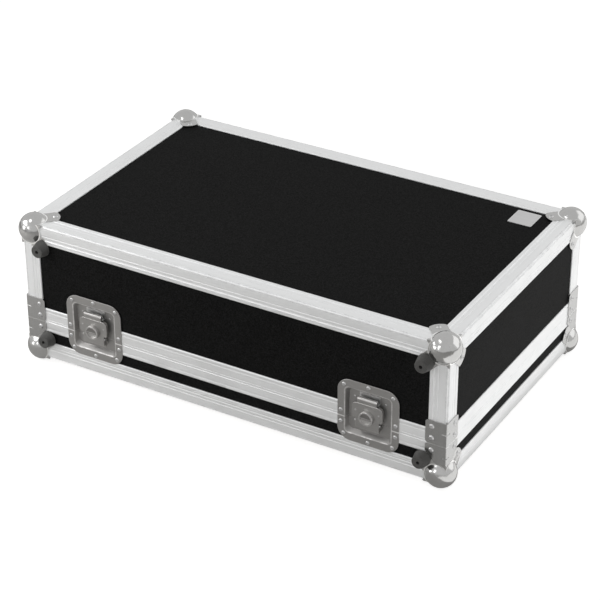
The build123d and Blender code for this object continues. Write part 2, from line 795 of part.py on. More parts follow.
# Keeper on the upper dish: a plate bent forward and up into a lip
half_keeper = keeper_width / 2
keeper_back = pan_depth - keeper_sheet
with BuildPart() as keeper_master:
    with BuildSketch(Plane.YZ.offset(latch_offset - half_keeper)):
        with BuildLine():
            Polyline(
                (front_y + pan_depth, latch_z + keeper_back_top),
                (front_y + keeper_back, latch_z + keeper_back_top),
                (front_y + keeper_back, latch_z + keeper_base + keeper_sheet),
                (front_y - keeper_lip_front + keeper_sheet, latch_z + keeper_base + keeper_sheet),
                (front_y - keeper_lip_front + keeper_sheet, latch_z + keeper_lip_top),
                (front_y - keeper_lip_front, latch_z + keeper_lip_top),
                (front_y - keeper_lip_front, latch_z + keeper_base),
                (front_y + pan_depth, latch_z + keeper_base),
                close=True)
        make_face()
    extrude(amount=keeper_width)
    bend = keeper_master.edges().filter_by(Axis.X).group_by(Axis.Z)[0].sort_by(Axis.Y)[0]
    fillet(bend, keeper_sheet)

# Support on the lower dish: foot plate with two ears that hold the guide pin
half_support = support_width / 2
with BuildPart() as support_master:
    with BuildSketch(front(-pan_depth)):
        with Locations((latch_offset, latch_z + (support_bottom + support_top) / 2)):
            Rectangle(support_width, support_top - support_bottom)
    extrude(amount=hook_sheet)
    for hand in (1, -1):
        ear_plane = Plane.YZ.offset(latch_offset + hand * half_support)
        with BuildSketch(ear_plane):
            with BuildLine():
                Polyline(
                    (front_y + pan_depth, latch_z + support_bottom + support_heel),
                    (front_y + pan_depth, latch_z + support_top),
                    (front_y + pan_depth - support_ear_root, latch_z + support_top),
                    (front_y + support_ear_back, latch_z + support_ear_top),
                    (front_y - support_ear_front, latch_z + support_ear_top),
                    (front_y - support_ear_front, latch_z + support_top),
                    (front_y + pan_depth - hook_sheet, latch_z + support_bottom + support_heel),
                    close=True)
            make_face()
        extrude(amount=-hand * hook_sheet)
    with BuildSketch(Plane.YZ.offset(latch_offset - half_support)):
        with Locations((front_y - guide_pin_out, latch_z + guide_pin_rise)):
            Circle(guide_pin_radius + guide_pin_clearance)
    extrude(amount=support_width, mode=Mode.SUBTRACT)

pin_reach = hook_foot_width / 2 + guide_pin_end
with BuildPart() as guide_pin_master:
    with BuildSketch(Plane.YZ.offset(latch_offset - pin_reach)):
        with Locations((front_y - guide_pin_out, latch_z + guide_pin_rise)):
            Circle(guide_pin_radius)
    extrude(amount=2 * pin_reach)
    for hand in (1, -1):
        with BuildSketch(Plane.YZ.offset(latch_offset + hand * pin_reach)):
            with Locations((front_y - guide_pin_out, latch_z + guide_pin_rise)):
                Circle(guide_pin_head)
        extrude(amount=hand * guide_pin_head_height)

# Hook plate: pressed plate that slides up and outwards, with a nose that folds over the keeper lip
slide_out = hook_travel * sin(radians(hook_slope))
slide_up = hook_travel * cos(radians(hook_slope))
hook_back = hook_face - hook_sheet
with BuildSketch() as hook_upper:
    with Locations((0, (hook_top + hook_waist) / 2)):
        Rectangle(hook_width, hook_top - hook_waist)
    fillet(hook_upper.vertices().group_by(Axis.Y)[-1], hook_corner)
    fillet(hook_upper.vertices().group_by(Axis.Y)[0], hook_corner / 3)
with BuildSketch() as hook_upper_inside:
    add(hook_upper.sketch)
    offset(amount=-hook_sheet, mode=Mode.REPLACE)
with BuildPart() as hook_master:
    with BuildSketch(front(hook_back)):
        with Locations((latch_offset, latch_z)):
            add(hook_upper.sketch)
        with Locations((latch_offset, latch_z + (hook_foot + hook_waist) / 2 + 1)):
            Rectangle(hook_foot_width, hook_waist - hook_foot + 2)
    extrude(amount=hook_sheet)
    with BuildSketch(front(hook_back)):
        with Locations((latch_offset, latch_z)):
            add(hook_upper.sketch)
            add(hook_upper_inside.sketch, mode=Mode.SUBTRACT)
        with Locations((latch_offset, latch_z + hook_waist)):
            Rectangle(hook_width * 2, hook_skirt_notch, mode=Mode.SUBTRACT)
        with Locations((latch_offset, latch_z + hook_top)):
            Rectangle(hook_nose_width + 2, hook_skirt_notch, mode=Mode.SUBTRACT)
    extrude(amount=-hook_skirt)
    outer = hook_master.faces().filter_by(Axis.Y).group_by(Axis.Y)[0].edges()
    fillet(outer, hook_sheet * 0.6)
    ear_back = pan_depth - hook_ear_lift
    ear_low = latch_z + hook_foot + hook_ear_lift
    ear_high = latch_z + hook_waist - hook_ear_shoulder
    for hand in (1, -1):
        with BuildSketch(Plane.YZ.offset(latch_offset + hand * hook_foot_width / 2)):
            with BuildLine():
                Polyline((front_y - hook_back, ear_low), (front_y - hook_back, ear_high), (front_y, ear_high),
                         (front_y + ear_back, ear_high - hook_ear_slope), (front_y + ear_back, ear_low),
                         close=True)
            make_face()
        extrude(amount=-hand * hook_sheet)
    with BuildSketch(Plane.YZ.offset(latch_offset - hook_foot_width / 2)):
        with Locations((front_y - guide_pin_out + slide_out / 2, latch_z + guide_pin_rise - slide_up / 2)):
            SlotCenterToCenter(hook_travel, 2 * (guide_pin_radius + guide_slot_clearance),
                               rotation=hook_slope - 90)
    extrude(amount=hook_foot_width, mode=Mode.SUBTRACT)
    nose_y = front_y - hook_nose_centre
    nose_z = latch_z + hook_nose_height
    neck_y = front_y - hook_neck_front
    outer_r = hook_nose_radius
    inner_r = hook_nose_radius - hook_sheet
    with BuildSketch(Plane.YZ.offset(latch_offset - hook_nose_width / 2)):
        with BuildLine():
            Line((nose_y + inner_r, nose_z), (nose_y + inner_r, nose_z - hook_tip_drop))
            Line((nose_y + inner_r, nose_z - hook_tip_drop), (nose_y + outer_r, nose_z - hook_tip_drop))
            Line((nose_y + outer_r, nose_z - hook_tip_drop), (nose_y + outer_r, nose_z))
            ThreePointArc((nose_y + outer_r, nose_z), (nose_y, nose_z + outer_r), (nose_y - outer_r, nose_z))
            Polyline((nose_y - outer_r, nose_z),
                     (nose_y - outer_r, nose_z - hook_crease_high - hook_crease_step),
                     (neck_y, nose_z - hook_crease_low), (neck_y, latch_z + hook_neck_bottom),
                     (neck_y + hook_sheet, latch_z + hook_neck_bottom),
                     (neck_y + hook_sheet, nose_z - hook_crease_low + hook_crease_step),
                     (nose_y - inner_r, nose_z - hook_crease_high), (nose_y - inner_r, nose_z))
            ThreePointArc((nose_y - inner_r, nose_z), (nose_y, nose_z + inner_r), (nose_y + inner_r, nose_z))
        make_face()
    extrude(amount=hook_nose_width)
    with BuildSketch(front(hook_face)):
        with Locations((latch_offset, latch_z + turn_centre)):
            Circle(turn_hub_radius + turn_hub_clearance)
    extrude(amount=-hook_sheet * 2, mode=Mode.SUBTRACT)
    with BuildSketch(front(hook_face)):
        with Locations((latch_offset + hook_dimple_x, latch_z + hook_dimple_z),
                       (latch_offset - hook_dimple_x, latch_z + hook_dimple_z)):
            Circle(hook_dimple_radius)
    extrude(amount=-hook_dimple_depth, mode=Mode.SUBTRACT)

# Turn disc: open cup on a hub through the hook plate, held by a washer behind it
turn_z = latch_z + turn_centre
disc_back = hook_face + turn_gap
with BuildPart() as disc_master:
    with BuildSketch(front(disc_back)):
        with Locations((latch_offset, turn_z)):
            Circle(turn_radius)
    extrude(amount=turn_front - disc_back)
    fillet(disc_master.faces().filter_by(Axis.Y).group_by(Axis.Y)[0].edges(), turn_round)
    with BuildSketch(front(turn_front)):
        with Locations((latch_offset, turn_z)):
            Circle(turn_recess_radius)
    extrude(amount=-turn_recess_depth, mode=Mode.SUBTRACT)
    with BuildSketch(front(disc_back)):
        with Locations((latch_offset, turn_z)):
            Circle(turn_hub_radius)
    extrude(amount=-(disc_back - hook_back + turn_gap))
    with BuildSketch(front(hook_back - turn_gap)):
        with Locations((latch_offset, turn_z)):
            Circle(turn_washer_radius)
    extrude(amount=-hook_sheet)
    with BuildSketch(Plane.YZ.offset(latch_offset - turn_radius + wing_bore_inset)):
        with Locations((front_y - wing_key_axis, turn_z)):
            Circle(wing_pin_radius + wing_pin_clearance)
    extrude(amount=2 * (turn_radius - wing_bore_inset), mode=Mode.SUBTRACT)

# Folding key in the cup and the pin it turns on
key_back = wing_key_axis - wing_key_thickness / 2
key_half = sqrt((turn_recess_radius - wing_key_clearance) ** 2 - wing_key_barrel**2)
with BuildPart() as key_master:
    with BuildSketch(front(key_back)):
        with Locations((latch_offset, turn_z)):
            Circle(turn_recess_radius - wing_key_clearance)
        with Locations((latch_offset, turn_z)):
            Rectangle(4 * turn_radius, 2 * turn_radius, align=(Align.CENTER, Align.MAX), mode=Mode.SUBTRACT)
    extrude(amount=wing_key_thickness)
    with BuildSketch(Plane.YZ.offset(latch_offset - key_half)):
        with Locations((front_y - wing_key_axis, turn_z)):
            Circle(wing_key_barrel)
    extrude(amount=2 * key_half)
    with BuildSketch(Plane.YZ.offset(latch_offset - turn_radius)):
        with Locations((front_y - wing_key_axis, turn_z)):
            Circle(wing_pin_radius + wing_pin_clearance)
    extrude(amount=2 * turn_radius, mode=Mode.SUBTRACT)
with BuildPart() as key_pin_master:
    with BuildSketch(Plane.YZ.offset(latch_offset - turn_radius + wing_pin_inset)):
        with Locations((front_y - wing_key_axis, turn_z)):
            Circle(wing_pin_radius)
    extrude(amount=2 * (turn_radius - wing_pin_inset))

# Hinges: three knuckles on a pin outside the back wall, level with the parting line
hinge_axis_y = back_y + hinge_reach
hinge_centres = (hinge_offset, -hinge_offset)
outer_start = hinge_knuckle / 2 + hinge_knuckle_gap
outer_knuckle = hinge_width / 2 - outer_start
arm_low = split_z - hinge_leaf_start - hinge_arm_overlap
arm_high = split_z + hinge_leaf_start + hinge_arm_overlap
with BuildPart() as hinge_leaf_base:
    with BuildSketch(back()):
        with Locations(*[(-x, split_z - (hinge_leaf + hinge_leaf_start) / 2) for x in hinge_centres]):
            Rectangle(hinge_width, hinge_leaf - hinge_leaf_start)
    extrude(amount=hinge_sheet)
    for x in hinge_centres:
        for hand in (1, -1):
            knuckle_x = x + hand * outer_start
            with BuildSketch(Plane.YZ.offset(knuckle_x)):
                with Locations((hinge_axis_y, split_z)):
                    Circle(hinge_barrel)
                with BuildLine():
                    Polyline((back_y, arm_low), (back_y, split_z - hinge_knuckle_gap),
                             (hinge_axis_y, split_z - hinge_knuckle_gap),
                             (hinge_axis_y, split_z - hinge_barrel),
                             (back_y + hinge_sheet, arm_low), close=True)
                make_face()
                with Locations((hinge_axis_y, split_z)):
                    Circle(hinge_pin_radius + hinge_pin_clearance, mode=Mode.SUBTRACT)
            extrude(amount=hand * outer_knuckle)
with BuildPart() as hinge_leaf_lid:
    with BuildSketch(back()):
        with Locations(*[(-x, split_z + (hinge_leaf + hinge_leaf_start) / 2) for x in hinge_centres]):
            Rectangle(hinge_width, hinge_leaf - hinge_leaf_start)
    extrude(amount=hinge_sheet)
    for x in hinge_centres:
        with BuildSketch(Plane.YZ.offset(x - hinge_knuckle / 2)):
            with Locations((hinge_axis_y, split_z)):
                Circle(hinge_barrel)
            with BuildLine():
                Polyline((back_y, arm_high), (back_y, split_z + hinge_knuckle_gap),
                         (hinge_axis_y, split_z + hinge_knuckle_gap), (hinge_axis_y, split_z + hinge_barrel),
                         (back_y + hinge_sheet, arm_high), close=True)
            make_face()
            with Locations((hinge_axis_y, split_z)):
                Circle(hinge_pin_radius + hinge_pin_clearance, mode=Mode.SUBTRACT)
        extrude(amount=hinge_knuckle)
with BuildPart() as hinge_pins:
    for x in hinge_centres:
        with BuildSketch(Plane.YZ.offset(x - hinge_width / 2 - hinge_pin_end)):
            with Locations((hinge_axis_y, split_z)):
                Circle(hinge_pin_radius)
        extrude(amount=hinge_width + 2 * hinge_pin_end)

# Recessed handle on the back of the lid
handle_face = -skin + dish_sheet
handle_floor = handle_face - handle_pan_depth
with BuildPart() as handle_dish:
    with BuildSketch(back(-skin)):
        with Locations((0, handle_z)):
            RectangleRounded(handle_width, handle_height, handle_corner)
    extrude(amount=dish_sheet)
    with BuildSketch(back(-skin)):
        with Locations((0, handle_z)):
            RectangleRounded(handle_pan_width + 2 * dish_sheet, handle_pan_height + 2 * dish_sheet,
                             handle_pan_corner + dish_sheet)
    with BuildSketch(back(handle_floor - dish_sheet)):
        with Locations((0, handle_z)):
            RectangleRounded(handle_pan_width - 2 * handle_pan_taper + 2 * dish_sheet,
                             handle_pan_height - 2 * handle_pan_taper + 2 * dish_sheet, handle_pan_corner)
    loft()
    with BuildSketch(back(handle_face)):
        with Locations((0, handle_z)):
            RectangleRounded(handle_pan_width, handle_pan_height, handle_pan_corner)
    with BuildSketch(back(handle_floor)):
        with Locations((0, handle_z)):
            RectangleRounded(handle_pan_width - 2 * handle_pan_taper,
                             handle_pan_height - 2 * handle_pan_taper, handle_pan_corner - dish_sheet)
    loft(mode=Mode.SUBTRACT)
    bail_y = back_y - bail_axis_depth - skin
    bail_z = handle_z + bail_axis_rise
    floor_y = back_y + handle_floor
    for hand in (1, -1):
        with BuildSketch(Plane.YZ.offset(hand * bail_lug_inner)):
            with Locations((bail_y, bail_z)):
                Circle(bail_lug_radius)
            with Locations((floor_y, bail_z)):
                Rectangle(bail_y - floor_y, 2 * bail_lug_radius, align=(Align.MIN, Align.CENTER))
            with Locations((bail_y, bail_z)):
                Circle(bail_radius + bail_clearance, mode=Mode.SUBTRACT)
            with Locations((floor_y, bail_z)):
                Rectangle(2 * bail_lug_radius, 4 * bail_lug_radius, align=(Align.MAX, Align.CENTER),
                          mode=Mode.SUBTRACT)
        extrude(amount=hand * bail_lug_thickness)

with BuildPart() as handle_bail:
    bar_z = bail_z - bail_drop
    with BuildLine() as bail_path:
        FilletPolyline((-bail_trunnion, bail_y, bail_z), (-bail_half_width, bail_y, bail_z),
                       (-bail_half_width, bail_y, bar_z), (bail_half_width, bail_y, bar_z),
                       (bail_half_width, bail_y, bail_z), (bail_trunnion, bail_y, bail_z), radius=bail_bend)
    with BuildSketch(Plane.YZ.offset(-bail_trunnion)):
        with Locations((bail_y, bail_z)):
            Circle(bail_radius)
    sweep()
with BuildPart() as handle_grip:
    with BuildSketch(Plane.YZ.offset(-grip_length / 2)):
        with Locations((bail_y, bar_z)):
            Circle(grip_radius)
            Circle(bail_radius, mode=Mode.SUBTRACT)
    extrude(amount=grip_length)

# Plain metal plate in the lid panel's rear right corner
with BuildPart() as tag_plate:
    with BuildSketch(Plane.XY.offset(top_z - skin)):
        with Locations((tag_x, shell_y + tag_y)):
            RectangleRounded(tag_width, tag_height, tag_corner)
    extrude(amount=tag_thickness)

# Foam trays
foam_x = case_width - 2 * (channel_back + foam_gap)
foam_y = case_depth - 2 * (channel_back + foam_gap)
with BuildPart() as foam_base:
    foam_low = bottom_z + channel_back
    foam_high = split_z - foam_edge
    with Locations((0, shell_y, foam_low)):
        Box(foam_x, foam_y, foam_high - foam_low, align=corner_low)
    with Locations((0, shell_y, foam_low + foam_floor)):
        Box(foam_x - 2 * foam_wall, foam_y - 2 * foam_wall, case_height, align=corner_low, mode=Mode.SUBTRACT)
with BuildPart() as foam_lid:
    roof = top_z - channel_back
    low = split_z + foam_edge
    with Locations((0, shell_y, low)):
        Box(foam_x, foam_y, roof - low, align=corner_low)
    with Locations((0, shell_y, roof - foam_roof)):
        Box(foam_x - 2 * foam_wall, foam_y - 2 * foam_wall, case_height,
            align=(Align.CENTER, Align.CENTER, Align.MAX), mode=Mode.SUBTRACT)
    with Locations((0, back_y - channel_back - foam_gap, handle_z)):
        Box(handle_pan_width + 2 * foam_pocket_margin,
            2 * (handle_pan_depth - channel_back + foam_pocket_margin),
            handle_pan_height + 2 * foam_pocket_margin, mode=Mode.SUBTRACT)

nodes = {
    "panel_bottom": panel_bottom, "panel_top": panel_top,
    "panel_base_front": panel_base_front, "panel_base_back": panel_base_back,
    "panel_base_right": panel_base_right, "panel_base_left": panel_base_left,
    "panel_lid_front": panel_lid_front, "panel_lid_back": panel_lid_back,
    "panel_lid_right": panel_lid_right, "panel_lid_left": panel_lid_left,
    "edging_bottom": edging_bottom, "edging_top": edging_top,
    "edging_base_posts": edging_base_posts, "edging_lid_posts": edging_lid_posts,
    "closure_base": closure_base, "closure_lid": closure_lid,
    "braces_base": braces_base, "braces_lid": braces_lid,
    "rivets_base": rivets_base, "rivets_lid": rivets_lid,
    "feet_base": feet_base, "feet_lid": feet_lid,
    "foot_screws_base": foot_screws_base, "foot_screws_lid": foot_screws_lid,
    "hinge_leaf_base": hinge_leaf_base, "hinge_leaf_lid": hinge_leaf_lid, "hinge_pins": hinge_pins,
    "handle_dish": handle_dish, "handle_bail": handle_bail, "handle_grip": handle_grip,
    "tag_plate": tag_plate, "foam_base": foam_base, "foam_lid": foam_lid,
}
parts = {name: block.part for name, block in nodes.items()}

for right, at_front in quarters:
    for at_top in (True, False):
        name = "corner_" + ("top_" if at_top else "bottom_") + ("front_" if at_front else "back_")
        parts[name + ("right" if right else "left")] = to_corner(corner_master.part, right, at_front, at_top)

across = Location((-2 * latch_offset, 0, 0))
single = {
    "dish_upper": dish_halves[True], "dish_lower": dish_halves[False], "hook_plate": hook_master.part,
    "turn_disc": disc_master.part, "turn_key": key_master.part, "turn_key_pin": key_pin_master.part,
}
for name, shape in single.items():
    parts[name + "_right"] = shape
    parts[name + "_left"] = shape.moved(across)
for name, master in (("keepers", keeper_master), ("latch_supports", support_master),
                     ("guide_pins", guide_pin_master)):
    with BuildPart() as pair:
        add(master.part)
        add(master.part.moved(across))
    parts[name] = pair.part

for name, shape in parts.items():
    shape.label = name
    export_step(shape, "parts/" + name + ".step")
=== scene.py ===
"""Looks of a flight case for a lighting controller: panels, edging, corners, latches, handle and foam."""

import logging
import math
from dataclasses import dataclass, replace
from enum import Enum

import bmesh
import bpy
from mathutils import Matrix, Vector, noise


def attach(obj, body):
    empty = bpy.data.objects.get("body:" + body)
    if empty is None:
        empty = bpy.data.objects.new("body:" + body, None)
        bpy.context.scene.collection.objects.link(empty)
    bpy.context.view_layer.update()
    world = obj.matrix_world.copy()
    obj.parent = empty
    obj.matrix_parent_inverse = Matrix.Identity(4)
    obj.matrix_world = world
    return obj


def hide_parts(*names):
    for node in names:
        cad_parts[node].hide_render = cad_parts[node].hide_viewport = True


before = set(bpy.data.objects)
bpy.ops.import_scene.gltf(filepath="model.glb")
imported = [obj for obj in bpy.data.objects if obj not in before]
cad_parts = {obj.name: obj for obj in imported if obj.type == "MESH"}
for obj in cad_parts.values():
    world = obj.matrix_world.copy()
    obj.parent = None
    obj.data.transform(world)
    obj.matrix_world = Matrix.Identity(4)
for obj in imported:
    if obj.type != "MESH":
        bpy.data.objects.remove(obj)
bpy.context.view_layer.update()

log = logging.getLogger("flight_case")

Colour = Point = tuple[float, float, float]
Span = tuple[float, float]
Numbers = tuple[float, ...]
Socket = bpy.types.NodeSocket
Outputs = bpy.types.NodeOutputs
Sockets = dict[str, Socket]
Piece = bpy.types.Object
Shape = bmesh.types.BMesh
Ring = list[bmesh.types.BMVert]
MM = 0.001

# How far the smudge noise swings, which finishes map onto their own spreads
SMUDGED: Span = (0.3, 0.7)

# A Mix node has its own pair of inputs, and its own output, for vectors and for colours
VECTOR_PAIR, MIXED_VECTOR = slice(4, 6), 1
COLOUR_PAIR, MIXED_COLOUR = slice(6, 8), 2


class Body(Enum):
    """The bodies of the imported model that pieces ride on."""

    BASE = "base"
    LID = "lid"
    HANDLE = "handle"


class Hand(Enum):
    """The two sides of the front, as the names of its pieces end."""

    RIGHT = "right"
    LEFT = "left"


class Run(Enum):
    """Which way the drawn or brushed lines of a metal surface run."""

    ALONG_EDGES = "along the edges, turning at each mitre"
    UPRIGHT = "straight up"
    ACROSS = "from side to side"


@dataclass(frozen=True)
class CaseSize:
    """Outline of the case and middle of its latches, in metres."""

    half_width: float = 370 * MM
    half_depth: float = 229 * MM
    middle_y: float = 2.5 * MM
    bottom: float = 11.2 * MM
    parting: float = 78.2 * MM
    top: float = 248.2 * MM
    latch_x: float = 242.6 * MM
    latch_z: float = 91.2 * MM

    @property
    def front(self) -> float:
        """Place of the front wall along Y."""
        return self.middle_y - self.half_depth


CASE = CaseSize()


class Graph:
    """Adds and joins the nodes of one material or node group."""

    def __init__(self, tree: bpy.types.NodeTree) -> None:
        """Keep the tree that nodes are added to.

        Args:
            tree: The node tree of a material, a world or a group.
        """
        self.tree = tree

    @classmethod
    def cleared(cls, owner: bpy.types.Material | bpy.types.World) -> "Graph":
        """Start a material or a world with no nodes.

        Args:
            owner: The material or world.

        Returns:
            The graph of its empty tree.
        """
        owner.use_nodes = True
        owner.node_tree.nodes.clear()
        return cls(owner.node_tree)

    def feed(self, socket: Socket, value: object) -> None:
        """Join a socket to another one, or give it a plain value.

        Args:
            socket: The input to feed.
            value: Another socket, a number, a vector or a colour.
        """
        if isinstance(value, bpy.types.NodeSocket):
            self.tree.links.new(value, socket)
        else:
            socket.default_value = value

    def fill(self, inputs: bpy.types.NodeInputs, **values: object) -> None:
        """Feed inputs by name.

        Args:
            inputs: The inputs of a node.
            values: What they take, with underscores for the spaces in their names.
        """
        for name, value in values.items():
            self.feed(inputs[name.replace("_", " ")], value)

    def node(self, kind: str, *values: object, **settings: object) -> bpy.types.Node:
        """Add a node.

        Args:
            kind: The node's type name.
            values: What its first inputs take, in their order.
            settings: Properties to set on it.

        Returns:
            The new node.
        """
        made = self.tree.nodes.new(kind)
        for name, value in settings.items():
            setattr(made, name, value)
        for socket, value in zip(made.inputs, values):
            self.feed(socket, value)
        return made

    def math(self, operation: str, *values: object, clamp: bool = False) -> Socket:
        """Add a Math node.

        Args:
            operation: Name of the operation.
            values: Numbers or sockets for its inputs.
            clamp: Whether the result is kept between 0 and 1.

        Returns:
            The node's output.
        """
        return self.node("ShaderNodeMath", *values, operation=operation, use_clamp=clamp).outputs[0]

    def times(self, product: Socket, *values: object) -> Socket:
        """Multiply a socket by one value after another.

        Args:
            product: What is multiplied.
            values: Numbers or sockets.

        Returns:
            The product.
        """
        for value in values:
            product = self.math("MULTIPLY", product, value)
        return product

    def apart(self, first: object, second: object) -> Socket:
        """Return how far two values are from each other."""
        return self.math("ABSOLUTE", self.math("SUBTRACT", first, second))

    def vector(self, operation: str, *values: object) -> Socket:
        """Add a Vector Math node.

        Args:
            operation: Name of the operation.
            values: Vectors or sockets for its inputs.

        Returns:
            The node's vector output, or its value output where it has only that.
        """
        made = self.node("ShaderNodeVectorMath", *values, operation=operation)
        return made.outputs["Value" if operation in ("DOT_PRODUCT", "LENGTH") else "Vector"]

    def split(self, value: Socket) -> tuple[Socket, ...]:
        """Return the three parts of a vector socket."""
        return tuple(self.node("ShaderNodeSeparateXYZ", value).outputs)

    def join(self, x: object, y: object, z: object) -> Socket:
        """Return a vector made of three parts."""
        return self.node("ShaderNodeCombineXYZ", x, y, z).outputs[0]

    def noise(self, where: Socket, scale: object, detail: float = 2.0, roughness: float = 0.5,
              distortion: float = 0.0) -> Socket:
        """Add a Noise Texture.

        Args:
            where: The coordinates.
            scale: Cells per metre.
            detail: Octaves of finer noise.
            roughness: Strength of the finer octaves.
            distortion: How far the pattern is dragged about.

        Returns:
            The noise value, centred on about 0.5.
        """
        made = self.node("ShaderNodeTexNoise")
        self.fill(made.inputs, Vector=where, Scale=scale, Detail=detail, Roughness=roughness,
                  Distortion=distortion)
        return made.outputs[0]

    def remap(self, value: object, low: object, high: object, to_low: object = 0.0, to_high: object = 1.0,
              smooth: bool = False) -> Socket:
        """Map a range of values onto another and keep it there.

        Args:
            value: The value to map.
            low: Start of its range.
            high: End of its range.
            to_low: Result at the start.
            to_high: Result at the end.
            smooth: Whether it eases in and out.

        Returns:
            The mapped value.
        """
        return self.node("ShaderNodeMapRange", value, low, high, to_low, to_high,
                         interpolation_type="SMOOTHSTEP" if smooth else "LINEAR").outputs[0]

    def about(self, value: Socket, span: Span, middle: float, spread: float) -> Socket:
        """Map a span of values onto what lies within the spread of a middle."""
        return self.remap(value, *span, middle - spread, middle + spread)

    def blend(self, share: object, first: object, second: object, kind: str = "MIX") -> Socket:
        """Mix two colours.

        Args:
            share: How much of the second shows.
            first: The colour at 0.
            second: The colour at 1.
            kind: The blend mode.

        Returns:
            The mixed colour.
        """
        made = self.node("ShaderNodeMix", share, data_type="RGBA", blend_type=kind)
        for socket, value in zip(made.inputs[COLOUR_PAIR], (first, second)):
            self.feed(socket, (*value, 1.0) if isinstance(value, tuple) else value)
        return made.outputs[MIXED_COLOUR]

    def bump(self, height: Socket, distance: float, **below: Socket) -> Socket:
        """Turn a height into a normal.

        Args:
            height: Height in units of the distance.
            distance: Height in metres of one unit.
            below: Where there is one, the Normal that it is added to.

        Returns:
            The bumped normal.
        """
        made = self.node("ShaderNodeBump")
        self.fill(made.inputs, Distance=distance, Height=height, **below)
        return made.outputs[0]


class Effect:
    """A surface effect kept as a node group, built once and placed in each material that shows it.

    Every effect takes the coordinates as Where. What else it takes are numbers with their usual values.
    """

    title: str = ""
    takes: dict[str, float] = {}
    gives: tuple[str, ...] = ("Mask",)

    def tree(self) -> bpy.types.NodeTree:
        """Find the group, or build it the first time.

        Returns:
            The group's tree.
        """
        found = bpy.data.node_groups.get(self.title)
        if found:
            return found
        made = bpy.data.node_groups.new(self.title, "ShaderNodeTree")
        made.interface.new_socket(name="Where", in_out="INPUT", socket_type="NodeSocketVector")
        for name, usual in self.takes.items():
            socket = made.interface.new_socket(name=name, in_out="INPUT", socket_type="NodeSocketFloat")
            socket.default_value = usual
        for name in self.gives:
            kind = "NodeSocketVector" if name == "Where" else "NodeSocketFloat"
            made.interface.new_socket(name=name, in_out="OUTPUT", socket_type=kind)
        graph = Graph(made)
        entry = graph.node("NodeGroupInput").outputs
        results = self.wire(graph, entry["Where"], entry)
        graph.fill(graph.node("NodeGroupOutput").inputs, **results)
        return made

    def wire(self, graph: Graph, where: Socket, entry: Outputs) -> Sockets:
        """Build the inside of the group.

        Args:
            graph: The group's graph.
            where: The coordinates.
            entry: The group's inputs by name.

        Returns:
            The value of each output by name.
        """
        raise NotImplementedError

    def use(self, graph: Graph, where: Socket, **values: object) -> Outputs:
        """Place the group in a material.

        Args:
            graph: The material's graph.
            where: The coordinates.
            values: The other inputs by name, with underscores for spaces.

        Returns:
            The outputs of the placed group.
        """
        made = graph.node("ShaderNodeGroup", node_tree=self.tree())
        graph.fill(made.inputs, Where=where, **values)
        return made.outputs


class PebbleGrain(Effect):
    """Fine pebbled skin of the laminate: rounded grains of uneven size with darker seams."""

    title = "pebble_grain"
    takes = {"Grains per metre": 900.0}
    gives = ("Height", "Seam")
    drifts_per_metre = 260.0
    drift = 1.6 * MM
    softness = 0.35
    dome = (0.1, 0.75)
    skin = (2400.0, 3.0, 0.6)
    skin_share = 0.35
    seam = (0.0, 0.35)

    def wire(self, graph: Graph, where: Socket, entry: Outputs) -> Sockets:
        """Drag a cell pattern about with one noise and lay a finer one over its domes.

        Args:
            graph: The group's graph.
            where: The coordinates.
            entry: The group's inputs by name.

        Returns:
            Height of the grains and the seams between them, by name.
        """
        drift = graph.node("ShaderNodeTexNoise")
        graph.fill(drift.inputs, Vector=where, Scale=self.drifts_per_metre)
        dragged = graph.vector("MULTIPLY_ADD", drift.outputs["Color"], (self.drift,) * 3, where)
        cells = graph.node("ShaderNodeTexVoronoi", feature="SMOOTH_F1")
        graph.fill(cells.inputs, Vector=dragged, Scale=entry["Grains per metre"], Smoothness=self.softness)
        dome = graph.remap(cells.outputs["Distance"], *self.dome, 1.0, 0.0, smooth=True)
        height = graph.math("MULTIPLY_ADD", graph.noise(where, *self.skin), self.skin_share, dome)
        return {"Height": height, "Seam": graph.remap(dome, *self.seam, 1.0, 0.0)}


class DrawnLines(Effect):
    """Long fine lines left by an extrusion die or a brush, stretched along one direction."""

    title = "drawn_lines"
    takes = {"Lines per metre": 900.0, "Stretch": 60.0}
    gives = ("Line", "Drift")
    fine = (3.0, 0.65)
    coarse = (2.0, 0.5)
    coarse_scale = 0.16
    coarse_share = 0.45
    drift = (14.0, 3.0, 0.55)

    def wire(self, graph: Graph, where: Socket, entry: Outputs) -> Sockets:
        """Squeeze the coordinates along local X and join fine with coarse lines.

        Args:
            graph: The group's graph.
            where: The coordinates.
            entry: The group's inputs by name.

        Returns:
            The lines and a slow drift, by name.
        """
        squeeze = graph.join(graph.math("DIVIDE", 1.0, entry["Stretch"]), 1.0, 1.0)
        along = graph.vector("MULTIPLY", where, squeeze)
        per_metre = entry["Lines per metre"]
        fine = graph.noise(along, per_metre, *self.fine)
        coarse = graph.noise(along, graph.times(per_metre, self.coarse_scale), *self.coarse)
        rest = graph.times(fine, 1.0 - self.coarse_share)
        line = graph.math("MULTIPLY_ADD", coarse, self.coarse_share, rest)
        return {"Line": line, "Drift": graph.noise(where, *self.drift)}


